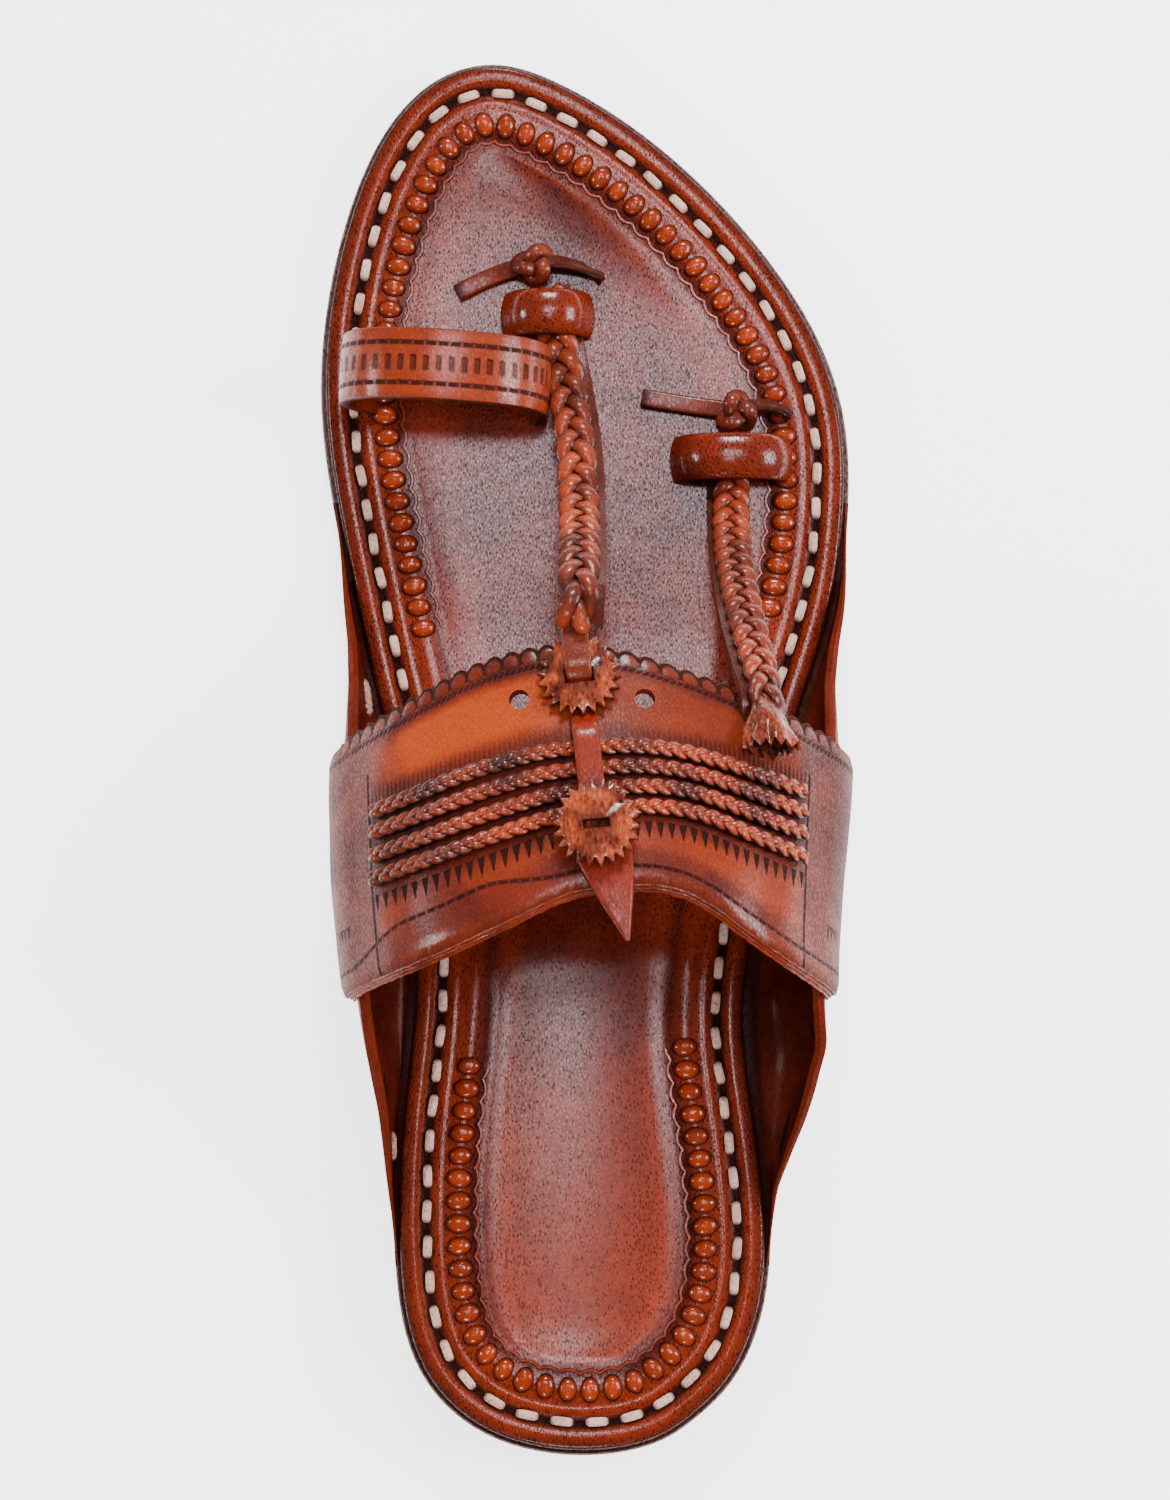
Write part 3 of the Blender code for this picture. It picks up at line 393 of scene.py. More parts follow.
def soleLayer(name, rows, material, slotName, base, cut=None, domed=0.0, field=None):
    # rows of inset, height above the base, wear and painted highlight, burn and painted shade, from the bottom to
    # the top
    count, across = 90, 12
    ys = stationsOf(count)
    if cut:
        ys = [y for y in ys if y < cut - 0.001] + [cut]
        count = len(ys) - 1
    solid = Solid()
    rings = []
    for inset, height, worn, burn in rows:
        points = [Vector((x, y, base(y) + height)) for x, y in outlineRing(ys, inset, bool(cut))]
        rings.append(solid.ring(points, worn, burn))
    solid.loft(rings, capped=False)
    for ring, row in ((rings[0], rows[0]), (rings[-1], rows[-1])):
        lines = [[ring[0]]]
        size = len(ring)
        for i in range(1, count + 1 if cut else count):
            start, end = solid.vertices[ring[i]], solid.vertices[ring[size - i]]
            line = [ring[i]]
            for k in range(1, across):
                share = k / across
                point = start.lerp(end, share)
                fall = domed * math.sin(math.pi * share) * ease(abs(end.x - start.x) / 0.04)
                edge = min(share, 1 - share)
                wearAndHighlight = field(point.y, edge) if field else row[2] * (1 - ease(edge * 5))
                point.z = base(point.y) + row[1] - fall
                line += solid.ring([point], wearAndHighlight, row[3] * 0.3)
            lines.append(line + [ring[size - i]])
        if not cut:
            lines.append([ring[count]])
        for near, far in zip(lines, lines[1:]):
            for k in range(max(len(near), len(far)) - 1):
                a, b = near[min(k, len(near) - 1)], far[min(k, len(far) - 1)]
                c, d = far[min(k + 1, len(far) - 1)], near[min(k + 1, len(near) - 1)]
                solid.faces.append(tuple(dict.fromkeys((a, b, c, d))))
    solid.make(name, material, slotName)


insoleLook = {
    "deep": (0.15, 0.020, 0.006), "mid": (0.40, 0.054, 0.012), "bright": (0.95, 0.160, 0.018),
    "burntAndShade": (0.014, 0.003, 0.002), "mottle": 26.0, "grain": 1600.0, "relief": 0.00019,
    "waves": 0.0026, "cells": 0.85, "fine": 0.45, "pores": 0.85,
    "rough": 0.38, "roughSpread": 0.12, "coat": 1.0, "coatRough": 0.18, "specular": 0.08, "poreShade": 0.55,
}
insoleLeather = leather("insoleLeather", insoleLook)
beadLeather = leather("beadLeather", dict(insoleLook, rough=0.22, relief=0.00008, pores=0.2, waves=0.0007,
                                          coatRough=0.16, coat=1.0))
soleLook = dict(insoleLook, deep=(0.22, 0.035, 0.010), mid=(0.45, 0.085, 0.018), bright=(0.55, 0.13, 0.035),
                burntAndShade=(0.030, 0.006, 0.004), mottle=14.0, rough=0.30, relief=0.00010, grain=1100.0)
soleLeather = leather("soleLeather", soleLook)

insoleBase = sole["outsole"] + sole["gap"]
insoleTop = insoleBase + sole["insole"]
channel = {"inset": 0.0065, "width": 0.0018, "depth": 0.0006}
beads = {"inset": 0.0132, "pitch": 0.0045, "halfWidth": 0.0021, "halfLength": 0.0027, "height": 0.0013,
         "frontMedial": 0.163, "frontLateral": 0.168, "rearMedial": 0.080, "rearLateral": 0.083}
insoleEdge, beadsIn = sole["setback"], beads["inset"]
channelIn, channelHalf = channel["inset"], channel["width"] / 2
# the stitch channel's floor and the low rows at the foot of the bead border are darkened: painted shade in the
# grooves
insoleRows = [
    (0.0100, insoleBase, 0.0, 1.0), (insoleEdge, insoleBase + 0.0012, 0.0, 1.0),
    (insoleEdge, insoleTop - 0.0009, 0.0, 0.9), (insoleEdge + 0.00025, insoleTop - 0.0003, 0.0, 0.7),
    (insoleEdge + 0.0008, insoleTop, 0.25, 0.40), (0.0040, insoleTop + 0.0001, 0.40, 0.0),
    (channelIn - channelHalf - 0.0005, insoleTop, 0.35, 0.2),
    (channelIn - channelHalf * 0.6, insoleTop - channel["depth"], 0.0, 1.0),
    (channelIn + channelHalf * 0.6, insoleTop - channel["depth"], 0.0, 1.0),
    (channelIn + channelHalf + 0.0005, insoleTop, 0.35, 0.3),
    (0.0095, insoleTop, 0.50, 0.0), (beadsIn - 0.0028, insoleTop - 0.0001, 0.45, 0.2),
    (beadsIn - 0.0014, insoleTop + 0.0003, 0.35, 0.0), (beadsIn + 0.0012, insoleTop + 0.0003, 0.25, 0.1),
    (beadsIn + 0.0028, insoleTop - 0.0002, 0.1, 0.5), (0.0185, insoleTop, 0.16, 0.0),
]


def burnish(y, edge):
    # worn heel and worn edges of the insole
    return 0.50 * (1 - ease((y - 0.045) / 0.06)) + 0.42 * (1 - ease(edge * 6))


soleLayer("insole_leather", insoleRows, insoleLeather, "insole", groundAt, domed=0.0006, field=burnish)
outsoleTop = sole["outsole"]
# the stitch channel on the bottom is darkened: painted shade in the groove
outsoleRows = [
    (0.0150, 0.0, 0.1, 0.0), (0.0056, 0.0, 0.25, 0.1), (0.0048, 0.0003, 0.0, 1.0), (0.0038, 0.0003, 0.0, 1.0),
    (0.0030, 0.0, 0.3, 0.2), (0.0010, 0.0001, 0.35, 0.2), (0.0002, 0.0007, 0.2, 0.7),
    (0.0, 0.0014, 0.0, 0.95), (0.0, outsoleTop - 0.0009, 0.0, 0.95), (0.0004, outsoleTop - 0.0002, 0.1, 0.7),
    (0.0100, outsoleTop - 0.0002, 0.0, 0.8),
]
soleLayer("outsole_leather", outsoleRows, soleLeather, "outsole", groundAt)
# the lift stands on the flat floor and shows two layers with a stitch channel below
liftEdge = sole["liftSetback"]
# the stitch channel and the line set in between the two layers are darkened: painted shade in the grooves
liftRows = [(liftEdge + inset, height, worn, burn) for inset, height, worn, burn in (
    (0.0150, 0.0, 0.3, 0.0), (0.0052, 0.0, 0.3, 0.1), (0.0046, 0.0003, 0.0, 1.0), (0.0036, 0.0003, 0.0, 1.0),
    (0.0030, 0.0, 0.3, 0.2), (0.0006, 0.0, 0.4, 0.3), (0.0, 0.0006, 0.1, 0.8), (0.0, 0.0032, 0.0, 0.95),
    (0.0003, 0.0035, 0.0, 1.0), (0.0, 0.0038, 0.0, 0.95), (0.0, sole["liftHeight"], 0.0, 1.0),
)]
soleLayer("heel_lift_leather", liftRows, soleLeather, "heel_lift", lambda y: 0.0, cut=sole["liftLength"])
print("sole made")


# beads and lacing follow the outline
def followOutline(inset, medialY, lateralY, pitch, front):
    # evenly spaced points with direction, from the inner side round the toe or the heel to the outer side
    ys = stationsOf(240)
    ring = outlineRing(ys, inset)
    count = len(ys)
    lateral, medial = ring[:count], [ring[0]] + ring[:count - 1:-1] + [ring[count - 1]]
    inner, outer = list(zip(medial, ys)), list(zip(lateral, ys))
    if front:
        path = [p for p, y in inner if y >= medialY] + [p for p, y in reversed(outer) if y >= lateralY]
    else:
        path = [p for p, y in reversed(inner) if y <= medialY] + [p for p, y in outer if y <= lateralY]
    points = [Vector((x, y, 0)) for x, y in path]
    runs = runsAlong(points)
    return [(points[i].lerp(points[i + 1], share), (points[i + 1] - points[i]).normalized())
            for i, share, _ in spaced(runs, max(1, round(runs[-1] / pitch)))]


def followBoth(look):
    # the run round the toe, then the one round the heel
    return [followOutline(look["inset"], look[end + "Medial"], look[end + "Lateral"], look["pitch"],
                          end == "front") for end in ("front", "rear")]


scallops = {"away": 0.0031, "bow": 0.0008, "steps": 10,
            "section": ((-0.00045, -0.0002), (-0.0002, 0.00028), (0.0002, 0.00028), (0.00045, -0.0002))}


def makeBeads():
    random.seed(4)
    solid = Solid()
    # radius and height in shares, worn: the crest is lighter, as wear and painted highlight
    profile = [(0.0, 1.0, 0.9), (0.30, 0.97, 0.9), (0.58, 0.84, 0.75), (0.80, 0.56, 0.4), (0.93, 0.22, 0.0),
               (1.0, -0.1, 0.0)]
    toeRows, heelRows = followBoth(beads)
    rows, front = toeRows + heelRows, len(toeRows)
    for number, (centre, along) in enumerate(rows):
        # across points to the sole's edge
        across = Vector((-along.y, along.x, 0)) * (1 if number < front else -1)
        size = random.uniform(0.95, 1.04)
        lean = Matrix.Rotation(random.uniform(-0.15, 0.15), 3, "Z")
        wearAndHighlight = random.uniform(0.55, 1.0)
        rings = []
        for radius, height, worn in profile:
            points = []
            for c, s in circle(18):
                x = c * radius * size * beads["halfWidth"]
                y = s * radius * size * beads["halfLength"]
                spot = centre + lean @ (along * x + across * y)
                point = Vector((spot.x, spot.y, footbedAt(spot.y) + 0.0001))
                point.z += beads["height"] * (height + 0.12 * noise.noise(spot * 900) * height)
                points.append(point)
            # the foot of each bead is darkened: painted shade where it meets the insole
            rings.append(solid.ring(points, worn * wearAndHighlight, 0.85 if radius > 0.9 else 0.0))
        solid.loft(rings, capped=False)
    # the raised scalloped line inside the beads
    for first, last in ((0, front), (front, len(rows))):
        rings = []
        steps = scallops["steps"]
        for i in range((last - first - 1) * steps + 1):
            at0, part = first + i // steps, i % steps / steps
            at1 = min(at0 + 1, last - 1)
            centre = rows[at0][0].lerp(rows[at1][0], part)
            along = rows[at0][1].lerp(rows[at1][1], part).normalized()
            inward = Vector((along.y, -along.x, 0)) * (1 if first == 0 else -1)
            bow = scallops["away"] + scallops["bow"] * abs(math.cos(math.pi * part))
            points = []
            for x, z in scallops["section"]:
                spot = centre + inward * (bow + x)
                points.append(Vector((spot.x, spot.y, footbedAt(spot.y) + z)))
            # the line's feet are darkened: painted shade along its base
            rings.append(solid.ring(points, [0.0, 0.3, 0.3, 0.0], [0.8, 0.0, 0.0, 0.5]))
        solid.loft(rings, capped=False, closed=False)
    solid.make("insole_beads", beadLeather, "insole")


makeBeads()

laceLook = {
    "dye": (0.95, 0.86, 0.82),
    "deep": (0.52, 0.30, 0.22), "mid": (0.80, 0.60, 0.50), "bright": (0.92, 0.78, 0.70),
    "burntAndShade": (0.10, 0.035, 0.02), "mottle": 90.0, "grain": 1800.0, "relief": 0.00008, "waves": 0.0003,
    "rough": 0.55, "roughSpread": 0.15, "coat": 0.0,
}
laceLeather = leather("laceLeather", laceLook)
lacing = {"inset": 0.0068, "pitch": 0.0071, "length": 0.0047, "width": 0.0018, "height": 0.0009,
          "frontMedial": 0.155, "frontLateral": 0.154, "rearMedial": 0.099, "rearLateral": 0.105}


def makeLacing():
    random.seed(9)
    solid = Solid()
    toeRows, heelRows = followBoth(lacing)
    for centre, along in toeRows + heelRows:
        turned = Matrix.Rotation(random.uniform(-0.09, 0.09), 3, "Z") @ along
        across = Vector((-turned.y, turned.x, 0))
        rings = []
        for i in range(9):
            t = i / 8 * 2 - 1
            arch = math.sqrt(max(0.0, 1 - t**4))
            middle = centre + turned * (t * lacing["length"] / 2)
            wide = lacing["width"] / 2 * (0.55 + 0.45 * arch)
            ring = []
            for c, s in circle(10):
                point = middle + across * (c * wide)
                bulge = 0.0003 * s * (0.5 + arch)
                point.z = footbedAt(point.y) - 0.0007 + (lacing["height"] + 0.0002) * arch + bulge
                ring.append(point)
            # the stitch darkens towards its ends: painted shade where it goes down into the insole
            rings.append(solid.ring(ring, 0.3 * arch, 1.0 - ease(arch * 1.35)))
        solid.loft(rings)
    solid.make("insole_lacing", laceLeather, "insole")


makeLacing()
print("beads and lacing made")

# ears: the flaps between insole and outsole
ears = {"wall": 0.0022, "skived": 0.0002, "drawnIn": 0.0009, "tuck": 0.009, "reach": 0.0127, "height": 0.032,
        "rise": 0.6, "rear": 0.038, "front": 0.194}
# share of the way from rear to front, inner reach, outer reach, height
earRows = [
    (0.00, 0.01, 0.01, 0.030), (0.09, 0.03, 0.08, 0.190), (0.14, 0.05, 0.28, 0.310), (0.19, 0.12, 0.56, 0.440),
    (0.24, 0.28, 0.81, 0.590), (0.29, 0.46, 1.00, 0.720), (0.35, 0.63, 0.97, 0.850), (0.41, 0.73, 0.89, 0.960),
    (0.49, 0.79, 0.81, 1.000), (0.58, 0.72, 0.74, 0.970), (0.64, 0.57, 0.63, 0.850), (0.70, 0.34, 0.40, 0.660),
    (0.76, 0.14, 0.16, 0.440), (0.82, 0.04, 0.05, 0.250), (0.91, 0.02, 0.02, 0.100), (1.00, 0.01, 0.01, 0.030),
]
earShares = [r[0] for r in earRows]
earMedial, earLateral, earTop = [steadyCurve(earShares, [r[k] for r in earRows]) for k in (1, 2, 3)]
earSpread = {-1: earMedial, 1: earLateral}
band = {
    "wall": 0.0024, "front": 0.139, "width": 0.047, "corner": 0.004,
    "lowAngle": 38.0, "frontHeight": 0.060, "rearHeight": 0.073, "crestFront": -0.0034, "crestRear": 0.0018,
    "fullness": 2.3, "scallop": 0.0039, "scallopDepth": 0.0011,
}

# across from the crest in shares, then the forward swing of the inner side's front and rear edge and of the
# outer side's
leanRows = [
    (0.00, 0.0180, 0.0180, 0.0180, 0.0180), (0.10, 0.0178, 0.0171, 0.0175, 0.0184),
    (0.20, 0.0171, 0.0154, 0.0164, 0.0184), (0.33, 0.0156, 0.0124, 0.0142, 0.0174),
    (0.45, 0.0136, 0.0097, 0.0120, 0.0148), (0.60, 0.0100, 0.0066, 0.0089, 0.0099),
    (0.80, 0.0047, 0.0032, 0.0040, 0.0043), (0.92, 0.0017, 0.0014, 0.0014, 0.0016), (1.00, 0.0, 0.0, 0.0, 0.0),
]
lean = {side: [steadyCurve([r[0] for r in leanRows], [r[k] for r in leanRows]) for k in keys]
        for side, keys in ((-1, (1, 2)), (1, (3, 4)))}


def earShare(y):
    return (y - ears["rear"]) / (ears["front"] - ears["rear"])


def earWall(y):
    share = earShare(y)
    return ears["skived"] + (ears["wall"] - ears["skived"]) * ease(share / 0.25) * ease((1 - share) / 0.25)


def earLow(y):
    return groundAt(y) + sole["outsole"] + sole["gap"] / 2 + earWall(y) / 2


def crestAt(y):
    front = band["front"] + lean[-1][0](0)
    rear = band["front"] - band["width"] + lean[-1][1](0)
    share = (front - y) / (front - rear)
    drop = band["wall"] + ears["wall"] + sole["gap"]
    height = band["frontHeight"] + (band["rearHeight"] - band["frontHeight"]) * share - drop
    return band["crestFront"] + (band["crestRear"] - band["crestFront"]) * share, height


def lastPoint(side, y, angle):
    edge, share = soleEdge(side, y), earShare(y)
    reach = ears["reach"] * earSpread[side](share)
    reach -= ears["drawnIn"] * (1 - ease(min(share, 1 - share) / 0.16))
    rise = ears["rise"] * ears["height"] * earTop(share)
    widest = earLow(y) + rise
    q = math.radians(angle)
    if angle <= 0:
        return Vector((edge + side * reach * math.cos(q), y, widest + rise * math.sin(q)))
    crestX, crestZ = crestAt(y)
    bend = 2 / band["fullness"]
    across = (edge + side * reach - crestX) * max(math.cos(q), 0.0) ** bend
    return Vector((crestX + across, y, widest + (crestZ - widest) * math.sin(q) ** bend))


def bandPoint(u, v, out=0.0):
    def onLast(u, v):
        side = -1 if u < 0.5 else 1
        angle = -band["lowAngle"] + (90 + band["lowAngle"]) * 2 * min(u, 1 - u)
        y = band["front"] - band["width"] * v
        if angle > 0:
            across = max(math.cos(math.radians(angle)), 0.0) ** (2 / band["fullness"])
            y += lean[side][0](across) * (1 - v) + lean[side][1](across) * v
        else:
            y -= band["corner"] * (angle / band["lowAngle"]) ** 2 * (1 - 2 * v)
        return lastPoint(side, y, angle)
    along = onLast(min(u + 0.004, 1), v) - onLast(max(u - 0.004, 0), v)
    across = onLast(u, v + 0.02) - onLast(u, v - 0.02)
    return onLast(u, v) + across.cross(along).normalized() * (ears["wall"] + sole["gap"] + out)


def bandSpot(x, v):
    low, high = 0.0, 1.0
    for _ in range(30):
        middle = (low + high) / 2
        low, high = (middle, high) if bandPoint(middle, v, band["wall"]).x < x else (low, middle)
    return low


def bandFrame(u, v):
    point = bandPoint(u, v, band["wall"])
    normal = (bandPoint(u, v, 2 * band["wall"]) - point).normalized()
    back = (bandPoint(u, v + 0.02, band["wall"]) - point).normalized()
    return point, normal, back


crestFront, crestRear = bandPoint(0.5, 0, band["wall"]), bandPoint(0.5, 1, band["wall"])
crestBack = (crestRear - crestFront).normalized()
crestUp = Vector((1, 0, 0)).cross(-crestBack).normalized()
crestSide = (-crestBack).cross(crestUp)


def atCrest(s, h, x=0.0):
    return crestFront + crestBack * s + crestUp * h + crestSide * x


# the solid insole's raised border, which straps pass over
border = {"inset": 0.0135, "width": 0.0046, "height": 0.0009}


def onInsole(x, y, above=0.0):
    inset = min(x - soleEdge(-1, y), soleEdge(1, y) - x)
    overBeads = 1 - ease((abs(inset - border["inset"]) - border["width"] / 2) / border["width"])
    return Vector((x, y, footbedAt(y) + border["height"] * overBeads + sole["gap"] + above))


earLook = dict(insoleLook, deep=(0.055, 0.009, 0.005), mid=(0.21, 0.030, 0.010), bright=(0.60, 0.095, 0.020),
               rough=0.50, coat=0.12, mottle=34.0, specular=0.08, relief=0.00005, pores=0.4, cells=0.3,
               fine=0.3)
earLeather = leather("earLeather", earLook)


def earTopAngle(y):
    height = ears["height"] * earTop(earShare(y))
    widest = earLow(y) + ears["rise"] * height
    share = (earLow(y) + height - widest) / (crestAt(y)[1] - widest)
    return math.degrees(math.asin(share ** (band["fullness"] / 2)))


def makeEar(node, side):
    solid = Solid()
    count, steps = 90, 18
    rings = []
    for i in range(count + 1):
        y = ears["rear"] + (ears["front"] - ears["rear"]) * i / count
        edge, top, wall = soleEdge(side, y), earTopAngle(y), earWall(y)
        inner = [Vector((edge - side * ears["tuck"] * s, y, earLow(y))) for s in (1.0, 0.5)]
        inner += [lastPoint(side, y, -90 + (top + 90) * k / steps) for k in range(steps + 1)]
        outer = []
        for k, point in enumerate(inner):
            ahead, behind = inner[min(k + 1, len(inner) - 1)], inner[max(k - 1, 0)]
            away = Vector((side * (ahead.z - behind.z), 0, -side * (ahead.x - behind.x))).normalized()
            outer.append(point + away * wall)
        rim = (inner[-1] + outer[-1]) / 2 + (inner[-1] - inner[-2]).normalized() * wall * 0.3
        ring = inner + [rim] + outer[::-1]
        worn = [0.12] * (len(inner) - 1) + [0.5, 0.6, 0.5] + [0.15] * (len(outer) - 1)
        # the points at both ends of the section, where the ear comes out from between the soles, are darkened:
        # painted shade
        burn = [0.7] * 4 + [0.1] * (len(inner) - 5) + [0.2, 0.3, 0.2] + [0.1] * (len(outer) - 5) + [0.7] * 4
        rings.append(solid.ring(ring, worn, burn))
    solid.loft(rings)
    if side > 0:
        solid.faces = [tuple(reversed(face)) for face in solid.faces]
    solid.make(node + "_leather", earLeather, node)


makeEar("ear_medial", -1)
makeEar("ear_lateral", 1)
# a lace, or a bare slit drawn as a dark patch of painted shade, low on the ears: side, rear and front end, angle
# round the ear, half width, kind
earSlits = [(-1, 0.1495, 0.1575, -62, 0.0011, "lace"), (-1, 0.0590, 0.0650, -38, 0.0007, "lace"),
            (-1, 0.0720, 0.0765, -20, 0.0006, "slit"), (-1, 0.0865, 0.0900, -12, 0.0006, "slit"),
            (1, 0.0600, 0.0690, -35, 0.0007, "slit"), (1, 0.0830, 0.0865, -15, 0.0006, "slit")]


def makeEarSlits():
    for side, node in ((-1, "ear_medial"), (1, "ear_lateral")):
        for kind, material in (("lace", laceLeather), ("slit", earLeather)):
            solid = Solid()
            for _, rear, front, angle, half, _ in [e for e in earSlits if e[0] == side and e[5] == kind]:
                rings = []
                for i in range(13):
                    t = i / 12 * 2 - 1
                    y = (rear + front) / 2 + (front - rear) / 2 * t
                    point, high = lastPoint(side, y, angle), lastPoint(side, y, angle + 6)
                    up = (high - point).normalized()
                    inward = Vector((-side * up.z, 0, side * up.x))
                    plump = math.sqrt(max(0.02, 1 - t**4 if kind == "lace" else 1 - t * t))
                    tall = (0.0009 if kind == "lace" else 0.00025) * plump
                    twist = 0.0003 * math.sin(i * 2.6) if kind == "lace" else 0.0
                    ring = [point + up * (half * plump * c + twist) + inward * tall * s
                            for c, s in circle(10)]
                    # a slit is a dark patch, painted shade inside the cut; a lace is a little dark all over and
                    # darker towards its ends, painted shade where it goes into its slit
                    dark = 1.0 if kind == "slit" else 0.45 + 0.55 * ease(abs(t) * 3 - 2)
                    rings.append(solid.ring(ring, 0.0, dark))
                solid.loft(rings)
            if solid.faces:
                solid.make(node + "_" + kind, material, node)


makeEarSlits()
print("ears made")


# instep band: outer and inner faces, scalloped front edge, rounded edges
def bandMarks(wire, where):
    # x runs from the crest along the band, y behind its front edge
    x, y = patternPlace(wire)
    side = wire.maths("ABSOLUTE", x)
    middle = 1 - side.span(0.0468, 0.0476)
    swing = wire.maths("POWER", side / 0.0475, 1.3) * x.span(-0.002, 0.002, 0.00315, 0.0068)
    # half discs stamped along the front edge, then a rope line
    across = (1 - x.wave(band["scallop"])) * (band["scallop"] / 2)
    down = y - 0.0014
    radius = wire.maths("SQRT", across * across + down * down)
    fringe = (1 - y.span(0.0020, 0.0024)) * y.span(-0.1, -0.05) * (1 - side.span(0.056, 0.060))
    disc = (1 - radius.span(0.0013, 0.0019)) * fringe
    rim = radius.near(0.0019, 0.0001, 0.0005) * fringe
    rope = y.near(0.0030, 0.00035, 0.0007)
    strand = (x + y * 0.7).wave(0.0013).span(0.25, 0.6)
    rearLine = 0.0436 - (1 - x.span(-0.024, -0.006)) * x.span(-0.058, -0.040) * 0.0042
    rearRow = y.near(rearLine, 0.0002, 0.0006)
    dash = x.wave(0.0022).span(0.2, 0.4)
    # fine upright lines in front of the first cord, mostly towards its ends
    cordLine = 0.0188 - swing
    hatchZone = (y - (cordLine - 0.0040)).span(0.0, 0.0022) * (1 - (y - cordLine).span(0.0, 0.0006)) * middle
    hatch = x.wave(0.00105).span(0.30, 0.75) * hatchZone * side.span(0.008, 0.034, 0.25, 1.0)
    # a row of wedges behind the last cord, their points to the rear
    fall = (y - (0.0354 - swing)) / 0.0034
    inRow = fall.span(0.0, 0.05) * (1 - fall.span(0.92, 1.0)) * middle * side.span(0.0075, 0.0085)
    wedge = (x.wave(0.0024) - 0.30 - fall * 0.62).span(-0.04, 0.12) * inRow
    # dark edge where the side panels begin, and a serrated stamp low on them
    seam = side.near(0.0480, 0.00015, 0.0005) * (y - 0.009).span(0.0, 0.001)
    low = (y - 0.0355) / 0.0030
    stampZone = low.span(0.0, 0.05) * (1 - low.span(0.95, 1.0))
    stampZone = stampZone * side.span(0.0565, 0.057) * (1 - side.span(0.065, 0.0655))
    stamp = (side.wave(0.0021) - low * 0.9).span(-0.05, 0.15) * stampZone
    # antique dye around the cords and along the edges, the fresh tan left between
    patch = wire.node("TexNoise", {}, {"Vector": where, "Scale": 55.0, "Detail": 3.0})
    inCords = (y - (cordLine - 0.0010)).span(0.0, 0.003) * (1 - (y - (cordLine + 0.0150)).span(0.0, 0.003))
    inCords = inCords * middle
    tan = y.span(0.0035, 0.0060) * (1 - (y - (cordLine - 0.0030)).span(-0.002, 0.002))
    tan = tan * (1 - x.span(-0.012, 0.006, 0.0, 0.7)) * (1 - side.span(0.036, 0.050))
    behind = fall.span(0.2, 1.0) * (1 - y.span(0.0385, 0.0415)) * x.span(-0.034, 0.0, 0.35, 0.7) * middle
    light = smaller(bigger(tan, behind * 0.6) * patch.span(0.30, 0.55, 0.55, 1.0), 1.0)
    dark = bigger(rope * (0.35 + strand * 0.5), rearRow * (0.45 + dash * 0.5))
    dark = bigger(dark, bigger(hatch * 0.6, wedge))
    dark = bigger(bigger(dark, rim * 0.75), bigger(seam * 0.9, stamp * 0.9))
    dark = bigger(dark, inCords * 0.45)
    height = disc * 0.00035 - rim * 0.00025 - rope * 0.00022 + rope * strand * 0.00035 - rearRow * 0.00030
    height = height + rearRow * dash * 0.00022 - hatch * 0.00022 - wedge * 0.00045
    height = height - seam * 0.00040 - stamp * 0.00035
    return {"height": height, "dark": dark, "light": light, "gloss": side.span(0.045, 0.056, 1.0, 0.2)}


bandLook = {
    "deep": (0.13, 0.018, 0.007), "mid": (0.40, 0.060, 0.014), "bright": (1.0, 0.210, 0.014),
    "burntAndShade": (0.018, 0.004, 0.003), "mottle": 22.0, "grain": 1400.0, "relief": 0.00009,
    "waves": 0.0005, "pores": 0.2,
    "rough": 0.40, "roughSpread": 0.16, "coat": 0.7, "coatRough": 0.22, "specular": 0.12,
}
bandLeather = leather("bandLeather", bandLook, bandMarks)


# raw layers show at the rear edge, the lowest stands out most: place from the outer face, how far out
rawLayers = [(0.05, 0.0001), (0.20, 0.0003), (0.32, 0.0002), (0.37, -0.0006), (0.43, 0.0004), (0.58, 0.0007),
             (0.66, 0.0006), (0.70, -0.0003), (0.75, 0.0008), (0.88, 0.0012), (0.97, 0.0010)]
# two punched holes beside the centre braid
punch = {"places": (-0.0143, 0.0101), "fromEdge": 0.0085, "radius": 0.0020, "sides": 28, "below": -0.006,
         "above": 0.003}


